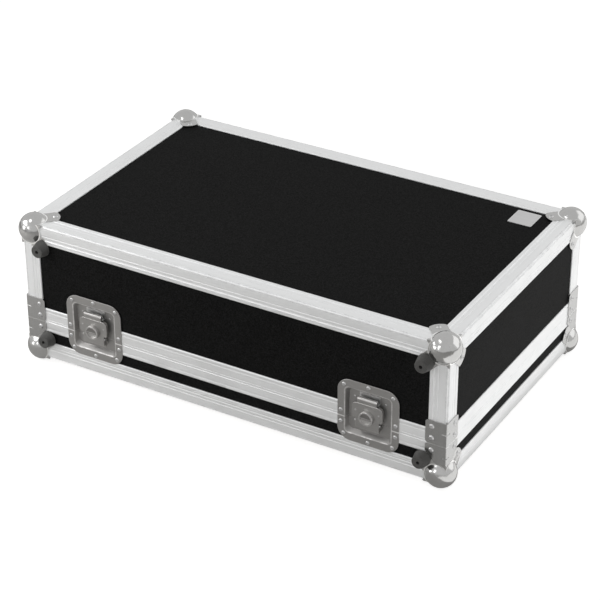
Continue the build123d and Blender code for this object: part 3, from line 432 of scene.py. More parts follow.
class MitreTurn(Effect):
    """Turns coordinates so that local X runs along the nearest edge of the case, as the edging does."""

    title = "mitre_turn"
    takes = {"Half width": CASE.half_width, "Half depth": CASE.half_depth, "Middle y": CASE.middle_y}
    gives = ("Where",)

    def wire(self, graph: Graph, where: Socket, entry: Outputs) -> Sockets:
        """Compare the distances to two walls and swap X and Y past the mitre.

        Args:
            graph: The group's graph.
            where: The coordinates.
            entry: The group's inputs by name.

        Returns:
            The turned coordinates, by name.
        """
        x, y, z = graph.split(where)
        to_side = graph.math("SUBTRACT", entry["Half width"], graph.math("ABSOLUTE", x))
        to_front = graph.math("SUBTRACT", entry["Half depth"], graph.apart(y, entry["Middle y"]))
        turned = graph.math("LESS_THAN", graph.math("SUBTRACT", to_side, to_front), 0.0)
        mix = graph.node("ShaderNodeMix", turned, data_type="VECTOR")
        for socket, value in zip(mix.inputs[VECTOR_PAIR], (where, graph.join(y, x, z))):
            graph.feed(socket, value)
        return {"Where": mix.outputs[MIXED_VECTOR]}


class EdgeRub(Effect):
    """Where handling has rubbed the corners of a piece: a broken band along its sharp edges; the edging gives
    it a darker colour, which is painted shade.
    """

    title = "edge_rub"
    takes = {"Reach": 1.2 * MM, "Amount": 0.5}
    samples = 4
    bend = (0.995, 0.86)
    patches = (90.0, 4.0, 0.65)
    patch_span = (0.42, 0.62)

    def wire(self, graph: Graph, where: Socket, entry: Outputs) -> Sockets:
        """Compare the rounded with the true normal and break the edges up.

        Args:
            graph: The group's graph.
            where: The coordinates.
            entry: The group's inputs by name.

        Returns:
            The mask of the rubbed edges, by name.
        """
        rounded = graph.node("ShaderNodeBevel", entry["Reach"], samples=self.samples)
        true = graph.node("ShaderNodeNewGeometry").outputs["Normal"]
        edge = graph.remap(graph.vector("DOT_PRODUCT", rounded.outputs[0], true), *self.bend)
        patchy = graph.remap(graph.noise(where, *self.patches), *self.patch_span)
        mask = graph.math("MULTIPLY", graph.times(edge, patchy), entry["Amount"], clamp=True)
        return {"Mask": mask}


class Handling(Effect):
    """Slow change of gloss from wiping and handling, with a few short scuffs."""

    title = "handling"
    takes = {"Spots per metre": 22.0}
    gives = ("Smudge", "Scuff")
    smudges = (5.0, 0.6, 0.8)
    lean = (1.0, 0.22, 0.35)
    scuffs = (310.0, 2.0, 0.4, 1.6)
    scuff_width = 0.012
    scuff_patch = (0.56, 0.7)

    def wire(self, graph: Graph, where: Socket, entry: Outputs) -> Sockets:
        """Make broad smudges and thin scuffs from two noises.

        Args:
            graph: The group's graph.
            where: The coordinates.
            entry: The group's inputs by name.

        Returns:
            The smudges and the scuffs, by name.
        """
        smudge = graph.noise(where, entry["Spots per metre"], *self.smudges)
        thin = graph.noise(graph.vector("MULTIPLY", where, self.lean), *self.scuffs)
        line = graph.remap(graph.apart(thin, 0.5), 0.0, self.scuff_width, 1.0, 0.0)
        patch = graph.remap(smudge, *self.scuff_patch)
        return {"Smudge": smudge, "Scuff": graph.times(line, patch)}


class Dust(Effect):
    """Fine dust that lies on faces which look up."""

    title = "dust"
    takes = {"Amount": 0.1}
    upward = (0.2, 0.95)
    clouds = (12.0, 4.0, 0.6)
    cloud_span = (0.35, 0.7)
    grit = (1500.0, 2.0, 0.7)
    grit_span = (0.5, 0.72)
    grit_share = 0.7

    def wire(self, graph: Graph, where: Socket, entry: Outputs) -> Sockets:
        """Multiply the upward part of the normal by a cloudy and a fine noise.

        Args:
            graph: The group's graph.
            where: The coordinates.
            entry: The group's inputs by name.

        Returns:
            The mask of the dust, by name.
        """
        normal = graph.node("ShaderNodeNewGeometry").outputs["Normal"]
        up = graph.remap(graph.split(normal)[2], *self.upward)
        cloud = graph.remap(graph.noise(where, *self.clouds), *self.cloud_span)
        grit = graph.remap(graph.noise(where, *self.grit), *self.grit_span)
        soft = graph.math("MULTIPLY_ADD", grit, self.grit_share, 1.0 - self.grit_share)
        return {"Mask": graph.times(up, cloud, soft, entry["Amount"])}


class PaintedRimHighlight(Effect):
    """Painted highlight line round a pan's mouth, and along the split between the halves of its dish."""

    title = "painted_rim_highlight"
    takes = dict.fromkeys(("Offset", "Rise", "Half width", "Half height", "Round", "Split", "Line"), 0.0)
    full = 0.4
    breaks = (70.0, 3.0, 0.6)
    break_span = (0.38, 0.6, 0.25, 0.8)

    def wire(self, graph: Graph, where: Socket, entry: Outputs) -> Sockets:
        """Keep what is near a rounded rectangle or near the split outside it.

        Args:
            graph: The group's graph.
            where: The coordinates.
            entry: The group's inputs by name.

        Returns:
            The mask of the painted highlight lines, by name.
        """
        x, _, z = graph.split(where)
        parts = []
        for place, middle, half in ((graph.math("ABSOLUTE", x), "Offset", "Half width"),
                                    (z, "Rise", "Half height")):
            away = graph.apart(place, entry[middle])
            parts.append(graph.math("SUBTRACT", away, graph.math("SUBTRACT", entry[half], entry["Round"])))
        beyond = [graph.math("MAXIMUM", part, 0.0) for part in parts]
        outside = graph.vector("LENGTH", graph.join(*beyond, 0.0))
        inside = graph.math("MINIMUM", graph.math("MAXIMUM", *parts), 0.0)
        gap = graph.math("SUBTRACT", graph.math("ADD", outside, inside), entry["Round"])
        rim = graph.remap(graph.math("ABSOLUTE", gap), 0.0, entry["Line"], 1.0, 0.0, smooth=True)
        broken = graph.remap(graph.noise(where, *self.breaks), *self.break_span)
        full = graph.times(entry["Line"], self.full)
        split = graph.remap(graph.apart(z, entry["Split"]), full, entry["Line"], 1.0, 0.0)
        flange = graph.math("GREATER_THAN", gap, 0.0)
        return {"Mask": graph.math("MAXIMUM", graph.times(rim, broken), graph.times(split, flange))}


def grey(value: float) -> Colour:
    """Return a neutral grey."""
    return (value, value, value)


@dataclass(frozen=True)
class Finish:
    """What every finish has: its name, its marks of use and the material that it makes."""

    name: str
    roughness: float = 0.4
    roughness_spread: float = 0.08
    spots_per_metre: float = 26.0
    rub: float = 0.5
    rub_reach: float = 0.8 * MM
    dust: float = 0.05

    def material(self) -> bpy.types.Material:
        """Find the finish's material, or build it the first time.

        Returns:
            The material.
        """
        found = bpy.data.materials.get(self.name)
        if found:
            return found
        made = bpy.data.materials.new(self.name)
        graph = Graph.cleared(made)
        shader = graph.node("ShaderNodeBsdfPrincipled")
        graph.node("ShaderNodeOutputMaterial", shader.outputs[0])
        where = graph.node("ShaderNodeTexCoord").outputs["Object"]
        graph.fill(shader.inputs, **self.looks(graph, where))
        return made

    def looks(self, graph: Graph, where: Socket) -> dict[str, object]:
        """Work out what the surface shader takes.

        Args:
            graph: The material's graph.
            where: The object's own coordinates, in metres.

        Returns:
            Inputs of the Principled BSDF by name.
        """
        raise NotImplementedError

    def marks(self, graph: Graph, where: Socket) -> tuple[Socket, ...]:
        """Place the marks of use.

        Args:
            graph: The material's graph.
            where: The object's own coordinates.

        Returns:
            Smudges, the roughness that they give, scuffs, rubbed edges and dust.
        """
        handled = Handling().use(graph, where, Spots_per_metre=self.spots_per_metre)
        rub = EdgeRub().use(graph, where, Reach=self.rub_reach, Amount=self.rub)
        dust = Dust().use(graph, where, Amount=self.dust)
        gloss = graph.about(handled["Smudge"], SMUDGED, self.roughness, self.roughness_spread)
        return handled["Smudge"], gloss, handled["Scuff"], rub["Mask"], dust["Mask"]


@dataclass(frozen=True)
class LaminateFinish(Finish):
    """Black laminate with a fine pebbled skin, faint dust and small scuffs."""

    colour: Colour = (0.0138, 0.0139, 0.0138)
    seam_colour: Colour = (0.0062, 0.0063, 0.0062)
    scuff_colour: Colour = grey(0.2)
    dust_colour: Colour = (0.10, 0.10, 0.098)
    rubbed: Colour = (0.05, 0.045, 0.04)
    roughness: float = 0.6
    roughness_spread: float = 0.02
    specular: float = 0.03
    grains_per_metre: float = 760.0
    grain_height: float = 0.1 * MM
    cloud_depth: float = 0.05
    flecks: Numbers = (420.0, 2.0, 0.6)
    fleck_span: Span = (0.36, 0.64)
    fleck_depth: float = 0.32
    scuff: float = 0.05

    def looks(self, graph: Graph, where: Socket) -> dict[str, object]:
        """Lay grain, flecks, scuffs, dust and rubbed edges over the black sheet.

        Args:
            graph: The material's graph.
            where: The object's own coordinates, in metres.

        Returns:
            Inputs of the Principled BSDF by name.
        """
        grain = PebbleGrain().use(graph, where, Grains_per_metre=self.grains_per_metre)
        smudge, gloss, scuff, rub, dust = self.marks(graph, where)
        cloud = graph.about(smudge, SMUDGED, 1.0, self.cloud_depth)
        fleck = graph.about(graph.noise(where, *self.flecks), self.fleck_span, 1.0, self.fleck_depth)
        tone = graph.times(cloud, fleck)
        sheet = graph.blend(grain["Seam"], self.colour, self.seam_colour)
        sheet = graph.blend(1.0, sheet, graph.join(tone, tone, tone), "MULTIPLY")
        sheet = graph.blend(graph.times(scuff, self.scuff), sheet, self.scuff_colour)
        sheet = graph.blend(dust, sheet, self.dust_colour)
        return {"Base Color": graph.blend(rub, sheet, self.rubbed), "Roughness": gloss,
                "Specular IOR Level": self.specular, "Normal": graph.bump(grain["Height"], self.grain_height)}


@dataclass(frozen=True)
class MetalFinish(Finish):
    """Bare, plated or anodised metal with drawn lines, handling marks and rubbed edges."""

    colour: Colour = grey(0.6)
    shade: Colour = grey(0.5)
    # Colour of rubbed edges, and of the painted highlight lines of corners, braces and dishes; the edging's
    # is darker, painted shade
    rubbed: Colour = grey(0.75)
    dust_colour: Colour = (0.42, 0.41, 0.39)
    metallic: float = 1.0
    run: Run = Run.ACROSS
    lines_per_metre: float = 900.0
    line_height: float = 0.008 * MM
    line_contrast: float = 0.8
    stretch: float = 60.0
    drift: Numbers = (0.35, 0.75, 0.0, 0.3)
    scuff_roughness: float = 0.12
    rub_gloss: float = -0.1
    unevenness: float = 0.0
    dents: Numbers = (75.0, 2.0, 0.45)

    def looks(self, graph: Graph, where: Socket) -> dict[str, object]:
        """Draw the lines, then smudge, rub and dust the metal, and paint the highlight lines of finishes that
        have them.

        Args:
            graph: The material's graph.
            where: The object's own coordinates, in metres.

        Returns:
            Inputs of the Principled BSDF by name.
        """
        turned = where
        if self.run is Run.ALONG_EDGES:
            turned = MitreTurn().use(graph, where)["Where"]
        elif self.run is Run.UPRIGHT:
            x, y, z = graph.split(where)
            turned = graph.join(z, x, y)
        lines = DrawnLines().use(graph, turned, Lines_per_metre=self.lines_per_metre, Stretch=self.stretch)
        _, gloss, scuff, rub, dust = self.marks(graph, where)
        # Rubbed edges joined with the painted highlight lines; both take the rubbed colour
        worn = graph.math("MAXIMUM", rub, self.painted_highlight(graph, where))
        streak = graph.remap(lines["Line"], 0.5 - self.line_contrast / 2, 0.5 + self.line_contrast / 2)
        metal = graph.blend(streak, self.shade, self.colour)
        metal = graph.blend(graph.remap(lines["Drift"], *self.drift), metal, self.shade)
        metal = graph.blend(worn, metal, self.rubbed)
        gloss = graph.math("MULTIPLY_ADD", scuff, self.scuff_roughness, gloss)
        normal = graph.bump(lines["Line"], self.line_height)
        if self.unevenness:
            normal = graph.bump(graph.noise(where, *self.dents), self.unevenness, Normal=normal)
        return {"Base Color": graph.blend(dust, metal, self.dust_colour),
                "Roughness": graph.math("MULTIPLY_ADD", worn, self.rub_gloss, gloss, clamp=True),
                "Metallic": self.metallic, "Normal": normal}

    def painted_highlight(self, graph: Graph, where: Socket) -> Socket | float:
        """Return how much painted highlight a place gets, besides its sharp edges."""
        return 0.0


@dataclass(frozen=True)
class CornerFinish(MetalFinish):
    """Plated pressing of the ball corners, with a painted highlight ring round the foot of each ball."""

    inset: float = 13.1 * MM
    radius: float = 24.3 * MM
    ring: Numbers = (0.15 * MM, 0.5 * MM, 1.3 * MM, 2.0 * MM)

    def painted_highlight(self, graph: Graph, where: Socket) -> Socket:
        """Paint a highlight ring round each ball.

        Args:
            graph: The material's graph.
            where: The object's own coordinates.

        Returns:
            How bright the ring is, from the distance to the nearest ball's centre.
        """
        parts = []
        for place, low, high in zip(graph.split(where), (-CASE.half_width, CASE.front, CASE.bottom),
                                    (CASE.half_width, CASE.middle_y + CASE.half_depth, CASE.top)):
            away = graph.apart(place, (high + low) / 2)
            parts.append(graph.math("SUBTRACT", away, (high - low) / 2 - self.inset))
        beyond = graph.math("SUBTRACT", graph.vector("LENGTH", graph.join(*parts)), self.radius)
        start, full, fading, end = self.ring
        return graph.times(graph.remap(beyond, start, full), graph.remap(beyond, fading, end, 1.0, 0.0))


@dataclass(frozen=True)
class BraceFinish(MetalFinish):
    """Metal of the corner braces, with a painted highlight line where the upper and the lower brace meet."""

    parting_highlight: Numbers = (0.35 * MM, 1.0 * MM, 0.9, 0.0)

    def painted_highlight(self, graph: Graph, where: Socket) -> Socket:
        """Return the painted highlight line along the parting."""
        return graph.remap(graph.apart(graph.split(where)[2], CASE.parting), *self.parting_highlight)


@dataclass(frozen=True)
class DishFinish(MetalFinish):
    """Metal of a latch dish, with painted highlight lines round the mouth of its pan and along its split."""

    half_width: float = 38.9 * MM
    half_height: float = 39.5 * MM
    corner: float = 7.0 * MM
    line: float = 1.6 * MM

    def painted_highlight(self, graph: Graph, where: Socket) -> Socket:
        """Paint the highlight lines round the pan's mouth and along the split.

        Args:
            graph: The material's graph.
            where: The object's own coordinates.

        Returns:
            How bright both lines are.
        """
        return PaintedRimHighlight().use(
            graph, where, Offset=CASE.latch_x, Rise=CASE.latch_z, Half_width=self.half_width,
            Half_height=self.half_height, Round=self.corner, Split=CASE.parting, Line=self.line)["Mask"]


@dataclass(frozen=True)
class MouldedFinish(Finish):
    """Moulded rubber or plastic with a fine matt skin and a few pale rub marks."""

    colour: Colour = grey(0.05)
    worn: Colour = grey(0.09)
    seam_colour: Colour = grey(0.02)
    dust_colour: Colour = (0.2, 0.19, 0.18)
    roughness: float = 0.71
    roughness_spread: float = 0.09
    specular: float = 0.35
    grains_per_metre: float = 2200.0
    grain_height: float = 0.02 * MM
    seam: float = 0.4
    worn_span: Span = (0.35, 0.7)
    spots_per_metre: float = 60.0
    rub: float = 0.6
    rub_reach: float = 1.2 * MM
    dust: float = 0.1

    def looks(self, graph: Graph, where: Socket) -> dict[str, object]:
        """Grain the skin and pale it where it is touched.

        Args:
            graph: The material's graph.
            where: The object's own coordinates, in metres.

        Returns:
            Inputs of the Principled BSDF by name.
        """
        grain = PebbleGrain().use(graph, where, Grains_per_metre=self.grains_per_metre)
        smudge, gloss, _, rub, dust = self.marks(graph, where)
        skin = graph.blend(graph.remap(smudge, *self.worn_span), self.colour, self.worn)
        skin = graph.blend(graph.times(grain["Seam"], self.seam), skin, self.seam_colour)
        skin = graph.blend(rub, skin, self.worn)
        return {"Base Color": graph.blend(dust, skin, self.dust_colour), "Roughness": gloss,
                "Specular IOR Level": self.specular, "Normal": graph.bump(grain["Height"], self.grain_height)}


@dataclass(frozen=True)
class FoamFinish(Finish):
    """Soft open-cell foam: deep dark pores between pale cell walls."""

    colour: Colour = (0.030, 0.030, 0.032)
    pressed_colour: Colour = (0.04, 0.04, 0.043)
    pore_colour: Colour = (0.006, 0.006, 0.007)
    roughness: float = 0.93
    roughness_spread: float = 0.05
    specular: float = 0.15
    sheen: float = 0.25
    sheen_roughness: float = 0.6
    pores_per_metre: float = 620.0
    pore_depth: float = 0.35 * MM
    spots_per_metre: float = 9.0

    def looks(self, graph: Graph, where: Socket) -> dict[str, object]:
        """Cut pores into the foam.

        Args:
            graph: The material's graph.
            where: The object's own coordinates, in metres.

        Returns:
            Inputs of the Principled BSDF by name.
        """
        pores = PebbleGrain().use(graph, where, Grains_per_metre=self.pores_per_metre)
        smudge = Handling().use(graph, where, Spots_per_metre=self.spots_per_metre)["Smudge"]
        walls = graph.blend(graph.remap(smudge, *SMUDGED), self.colour, self.pressed_colour)
        gloss = graph.about(smudge, SMUDGED, self.roughness, self.roughness_spread)
        return {"Base Color": graph.blend(pores["Seam"], walls, self.pore_colour), "Roughness": gloss,
                "Specular IOR Level": self.specular, "Normal": graph.bump(pores["Height"], self.pore_depth),
                "Sheen Weight": self.sheen, "Sheen Roughness": self.sheen_roughness}


LAMINATE = LaminateFinish("black_laminate", spots_per_metre=16.0, rub=0.35, rub_reach=0.9 * MM, dust=0.02)
# The edging's rubbed colour is darker than its metal: painted shade along sharp edges and rib edges, which
# tones down their highlights
EDGING = MetalFinish(
    "anodised_edging", colour=(0.88, 0.885, 0.885), shade=(0.80, 0.803, 0.805), rubbed=grey(0.42),
    roughness=0.66, run=Run.ALONG_EDGES, lines_per_metre=1500.0, line_contrast=0.6, stretch=90.0, rub=0.55,
    rub_reach=0.9 * MM, rub_gloss=0.15, dust=0.04)
POSTS = replace(EDGING, name="anodised_posts", run=Run.UPRIGHT)
CORNER = CornerFinish(
    "plated_corner", colour=(0.56, 0.56, 0.555), shade=(0.47, 0.467, 0.458), rubbed=(0.96, 0.96, 0.95),
    roughness=0.17, roughness_spread=0.05, run=Run.UPRIGHT, lines_per_metre=300.0, line_height=0.003 * MM,
    line_contrast=1.0, stretch=3.0, rub=0.6, rub_reach=1.0 * MM, dust=0.03, unevenness=1.1 * MM)
BRACE = BraceFinish(
    "zinc_brace", colour=(0.49, 0.49, 0.485), shade=(0.42, 0.42, 0.415), rubbed=(0.95, 0.95, 0.94),
    roughness=0.22, roughness_spread=0.04, run=Run.UPRIGHT, lines_per_metre=800.0, stretch=40.0,
    line_contrast=0.6, rub=0.8, rub_reach=1.1 * MM)
LATCH = MetalFinish(
    "zinc_latch", colour=(0.46, 0.45, 0.44), shade=(0.39, 0.383, 0.375), rubbed=(0.8, 0.79, 0.77),
    roughness=0.34, lines_per_metre=500.0, stretch=8.0, rub=1.0, rub_reach=1.2 * MM)
DISH = DishFinish(
    "zinc_dish", colour=(0.41, 0.40, 0.39), shade=(0.34, 0.333, 0.325), rubbed=(0.95, 0.94, 0.93),
    roughness=0.48, metallic=0.75, lines_per_metre=500.0, stretch=8.0, rub=0.8, rub_reach=1.3 * MM)
TURN = MetalFinish(
    "turned_disc", colour=(0.62, 0.61, 0.60), shade=(0.52, 0.513, 0.505), rubbed=(0.85, 0.84, 0.82),
    roughness=0.3, stretch=1.0, rub=1.0, rub_reach=1.0 * MM)
# Darker than the latch metal partly as painted reflection: the dark colour stands in for the dark band that
# the key's polished face reflects
KEY = MetalFinish(
    "key_with_painted_dark_reflection", colour=(0.30, 0.29, 0.28), shade=(0.22, 0.215, 0.21), rubbed=(0.55, 0.54, 0.53),
    roughness=0.42, lines_per_metre=700.0, stretch=3.0, rub=0.6)
RIVET = MetalFinish(
    "plated_rivet", colour=grey(0.60), shade=grey(0.52), roughness=0.36, lines_per_metre=700.0, stretch=2.0,
    line_contrast=1.0, dust=0.02)
HARDWARE = MetalFinish(
    "zinc_fittings", colour=(0.46, 0.46, 0.465), shade=(0.38, 0.38, 0.385), rubbed=grey(0.7), roughness=0.3,
    lines_per_metre=800.0, stretch=30.0, line_contrast=0.5)
PLATE = MetalFinish(
    "brushed_plate", colour=grey(0.70), shade=grey(0.56), rubbed=grey(0.95), lines_per_metre=1600.0,
    stretch=80.0, line_contrast=0.7, rub=1.0, rub_reach=1.6 * MM)
SCREW = MetalFinish(
    "blackened_screw", colour=grey(0.03), shade=grey(0.015), rubbed=grey(0.2), roughness=0.45, stretch=2.0,
    line_contrast=0.5)
RUBBER = MouldedFinish("grey_foot_rubber", colour=(0.105, 0.104, 0.100), worn=(0.14, 0.138, 0.133))
GRIP = MouldedFinish("moulded_grip", colour=grey(0.014), worn=grey(0.03), roughness=0.61)
FOAM = FoamFinish("open_cell_foam")


def add_object(name: str, data: bpy.types.ID | Shape) -> Piece:
    """Put an object into the scene.

    Args:
        name: The object's name.
        data: Its light or camera, or the shape of its mesh, which stays as it is.

    Returns:
        The new object.
    """
    if isinstance(data, Shape):
        shape, data = data, bpy.data.meshes.new(name)
        shape.to_mesh(data)
    made = bpy.data.objects.new(name, data)
    bpy.context.scene.collection.objects.link(made)
    return made


def circle(count: int) -> list[float]:
    """Return angles that share out a whole turn."""
    return [math.tau * i / count for i in range(count)]


def bridge(shape: Shape, ring: Ring, following: Ring) -> None:
    """Join two closed rings of points with faces.

    Args:
        shape: The mesh that the points are in.
        ring: Points of the first ring.
        following: As many points of the other one.
    """
    for i in range(len(ring)):
        after = (i + 1) % len(ring)
        shape.faces.new((ring[i], ring[after], following[after], following[i]))


def mesh_piece(name: str, shape: Shape, finish: Finish, body: Body | str) -> Piece:
    """Turn a finished mesh into a smooth piece that rides on a body.

    Args:
        name: The piece's name.
        shape: Its mesh, which is freed.
        finish: Its finish.
        body: The body that it rides on.

    Returns:
        The new object.
    """
    bmesh.ops.recalc_face_normals(shape, faces=shape.faces)
    piece = add_object(name, shape)
    shape.free()
    for face in piece.data.polygons:
        face.use_smooth = True
    piece.data.materials.append(finish.material())
    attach(piece, body.value if isinstance(body, Body) else body)
    log.info("%s built with %d faces", name, len(piece.data.polygons))
    return piece


Dressing = tuple[tuple[Finish, tuple[str, ...]], ...]


@dataclass
class Assembly:
    """A sub-assembly of the case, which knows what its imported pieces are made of."""

    finishes: Dressing = ()

    def dress(self, ending: str = "") -> None:
        """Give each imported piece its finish.

        Args:
            ending: What the names of its nodes end in.
        """
        for finish, names in self.finishes:
            for name in names:
                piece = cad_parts[name + ending]
                if not piece.material_slots:
                    piece.data.materials.append(None)
                for place in piece.material_slots:
                    place.material = finish.material()
                log.info("%s dressed in %s", name + ending, finish.name)

    def build(self) -> None:
        """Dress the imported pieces."""
        self.dress()


@dataclass
class Walls(Assembly):
    """The ten laminate panels of base and lid."""

    finishes: Dressing = (
        (LAMINATE, ("panel_bottom", "panel_top", *(f"panel_{half}_{wall}" for half in ("base", "lid")
                                                   for wall in ("front", "back", "right", "left")))),)


@dataclass
class Frame(Assembly):
    """Edging, closure and the metal parts that join them."""

    finishes: Dressing = (
        (EDGING, ("edging_bottom", "edging_top", "closure_base", "closure_lid")),
        (POSTS, ("edging_base_posts", "edging_lid_posts")),
        (BRACE, ("braces_base", "braces_lid")),
        (RIVET, ("rivets_base", "rivets_lid")))


@dataclass
class Corners(Assembly):
    """The eight ball corners and the rubber feet on the front ones."""

    finishes: Dressing = (
        (CORNER, tuple(f"corner_{level}_{wall}_{hand}" for level in ("top", "bottom")
                       for wall in ("front", "back") for hand in ("right", "left"))),
        (RUBBER, ("feet_base", "feet_lid")),
        (SCREW, ("foot_screws_base", "foot_screws_lid")))


@dataclass(frozen=True)
class StudPair:
    """Two low domed studs on a face that looks to the front, one on each side of a latch's middle."""

    side: float
    up: float
    depth: float
    radius: float
    height: float
    rounds: int = 24
    rings: int = 6

    def dome(self, shape: Shape, foot: Point) -> None:
        """Add one stud.

        Args:
            shape: The mesh that it goes into.
            foot: Middle of its foot.
        """
        x, y, z = foot
        turns = circle(self.rounds)
        circles: list[Ring] = []
        for ring in range(self.rings):
            rise = ring / self.rings * math.pi / 2
            out, reach = self.height * math.sin(rise), self.radius * math.cos(rise)
            circles.append([shape.verts.new((x + reach * math.cos(turn), y - out, z + reach * math.sin(turn)))
                            for turn in turns])
        shape.faces.new(circles[0])
        for low, high in zip(circles, circles[1:]):
            bridge(shape, low, high)
        tip = shape.verts.new((x, y - self.height, z))
        last = circles[-1]
        for point, following in zip(last, last[1:] + last[:1]):
            shape.faces.new((point, following, tip))

    def build(self, name: str, centre: float, body: Body | str) -> Piece:
        """Set both studs.

        Args:
            name: The piece's name.
            centre: Place of the latch from left to right.
            body: The body that they ride on.

        Returns:
            One piece with both studs.
        """
        shape = bmesh.new()
        for side in (-self.side, self.side):
            self.dome(shape, (centre + side, CASE.front + self.depth, CASE.latch_z + self.up))
        return mesh_piece(name, shape, RIVET, body)


@dataclass
class Latch(Assembly):
    """One recessed turn latch: dish halves, hook plate, turn disc, folding key and the studs on them."""

    finishes: Dressing = (
        (DISH, ("dish_upper", "dish_lower")), (LATCH, ("hook_plate",)),
        (TURN, ("turn_disc", "turn_key_pin")), (KEY, ("turn_key",)))
    hand: Hand = Hand.RIGHT
    pan_studs: StudPair = StudPair(25.5 * MM, 23.0 * MM, depth=6.0 * MM, radius=1.7 * MM, height=0.7 * MM)
    plate_studs: StudPair = StudPair(19.5 * MM, 7.0 * MM, depth=-3.7 * MM, radius=1.3 * MM, height=0.9 * MM)

    def build(self) -> None:
        """Dress the latch's own pieces and add its studs."""
        hand = self.hand.value
        self.dress("_" + hand)
        centre = CASE.latch_x if self.hand is Hand.RIGHT else -CASE.latch_x
        self.pan_studs.build("pan_studs_" + hand, centre, Body.LID)
        self.plate_studs.build("plate_studs_" + hand, centre, "hook_" + hand)


@dataclass
class Fittings(Assembly):
    """Hinges, recessed handle, label plate and the small parts that both latches share."""

    finishes: Dressing = (
        # The keepers wear the brighter brushed plate, not the latch metal: painted highlight, so that their
        # lip shows as a light line above the hook
        (PLATE, ("keepers", "tag_plate")), (LATCH, ("latch_supports", "handle_dish")),
        (RIVET, ("guide_pins",)),
        (HARDWARE, ("hinge_leaf_base", "hinge_leaf_lid", "hinge_pins", "handle_bail")))


@dataclass
class FoamTray:
    """A foam block with a rounded rim and an egg-crate floor; the lid's has a pocket for the handle dish."""

    name: str
    body: Body
    outer: float
    inner: float
    sheet: float
    hill: float
    half_x: float = 359.5 * MM
    half_y: float = 218.5 * MM
    wall: float = 14.0 * MM
    wall_lean: float = 0.5 * MM
    rim_round: float = 3.0 * MM
    rim_lines: Numbers = (0.0, 0.12, 0.35, 0.65, 1.0)
    rim_wobble: float = 0.35 * MM
    rim_wobbles_per_metre: float = 30.0
    step: float = 6.0 * MM
    pitch: float = 42.0 * MM
    calm: float = 24.0 * MM
    wobble: float = 0.5 * MM
    wobbles_per_metre: float = 45.0
    pocket: tuple[Vector, Vector] | None = None

    def lines(self, half: float) -> list[float]:
        """Grid lines across one direction: close together over the rim, even between.

        Args:
            half: Half of the block's size in that direction.

        Returns:
            The lines' places, in order.
        """
        bend = [self.rim_round * share for share in self.rim_lines]
        rim = bend + [self.wall / 2] + [self.wall - part for part in reversed(bend)]
        rim.append(self.wall + self.wall_lean)
        start = half - rim[-1]
        count = round(2 * start / self.step)
        middle = [-start + 2 * start * i / count for i in range(1, count)]
        return [part - half for part in rim] + middle + [half - part for part in reversed(rim)]

    def height(self, x: float, y: float) -> float:
        """Height of the foam above its back, before it is turned over for the lid.

        Args:
            x: Place from left to right.
            y: Place from front to back, from the middle.

        Returns:
            The height of the rim, or of the hills and hollows inside it.
        """
        inset = min(self.half_x - abs(x), self.half_y - abs(y))
        full = abs(self.outer - self.inner)
        if inset <= self.wall + self.wall_lean / 2:
            fall = self.rim_round - min(inset, max(self.wall - inset, 0.0), self.rim_round)
            rise = self.rim_round - math.sqrt(max(self.rim_round**2 - fall**2, 0.0))
            wobble = self.rim_wobble * noise.noise(Vector((x, y, full)) * self.rim_wobbles_per_metre)
            return full - rise - self.rim_wobble + wobble
        calm = min(1.0, (inset - self.wall) / self.calm)
        turn = math.tau / self.pitch
        wave = math.sin(turn * x) * math.sin(turn * (y - CASE.middle_y)) / 2
        wobble = self.wobble * noise.noise(Vector((x, y, 1.0)) * self.wobbles_per_metre)
        return self.sheet - self.hill * (0.5 + wave * calm) + min(wobble, 0.0)

    def build(self) -> Piece:
        """Build the block as one closed mesh.

        Returns:
            The foam piece, which stands for its CAD solid.
        """
        up = 1.0 if self.inner > self.outer else -1.0
        across, along = self.lines(self.half_x), self.lines(self.half_y)
        shape = bmesh.new()
        rows = [[shape.verts.new((x, y + CASE.middle_y, self.outer + up * self.height(x, y))) for x in across]
                for y in along]
        for low, high in zip(rows, rows[1:]):
            for i in range(len(across) - 1):
                shape.faces.new((low[i], low[i + 1], high[i + 1], high[i]))
        rim = (rows[0][:-1] + [row[-1] for row in rows[:-1]] + rows[-1][:0:-1]
               + [row[0] for row in rows[:0:-1]])
        foot = [shape.verts.new((vert.co.x, vert.co.y, self.outer)) for vert in rim]
        bridge(shape, rim, foot)
        shape.faces.new(foot)
        if self.pocket:
            self.cut(shape)
        piece = mesh_piece(self.name + "_block", shape, FOAM, self.body)
        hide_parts(self.name)
        return piece

    def cut(self, shape: Shape) -> None:
        """Cut the pocket out of the block.

        Args:
            shape: The block's mesh, which is changed.
        """
        low, high = self.pocket
        cutter_shape = bmesh.new()
        place = Matrix.Translation((low + high) / 2) @ Matrix.Diagonal((*(high - low), 1.0))
        bmesh.ops.create_cube(cutter_shape, size=1.0, matrix=place)
        bmesh.ops.recalc_face_normals(shape, faces=shape.faces)
        cutter, block = add_object("cutter", cutter_shape), add_object("block", shape)
        cutter_shape.free()
        difference = block.modifiers.new("pocket", "BOOLEAN")
        difference.object = cutter
        difference.operation = "DIFFERENCE"
        difference.solver = "EXACT"
        bpy.context.view_layer.update()
        result = bpy.data.meshes.new_from_object(block.evaluated_get(bpy.context.evaluated_depsgraph_get()))
        shape.clear()
        shape.from_mesh(result)
        leftovers = [result, cutter.data, block.data]
        for piece in (cutter, block):
            bpy.data.objects.remove(piece)
        for data in leftovers:
            bpy.data.meshes.remove(data)


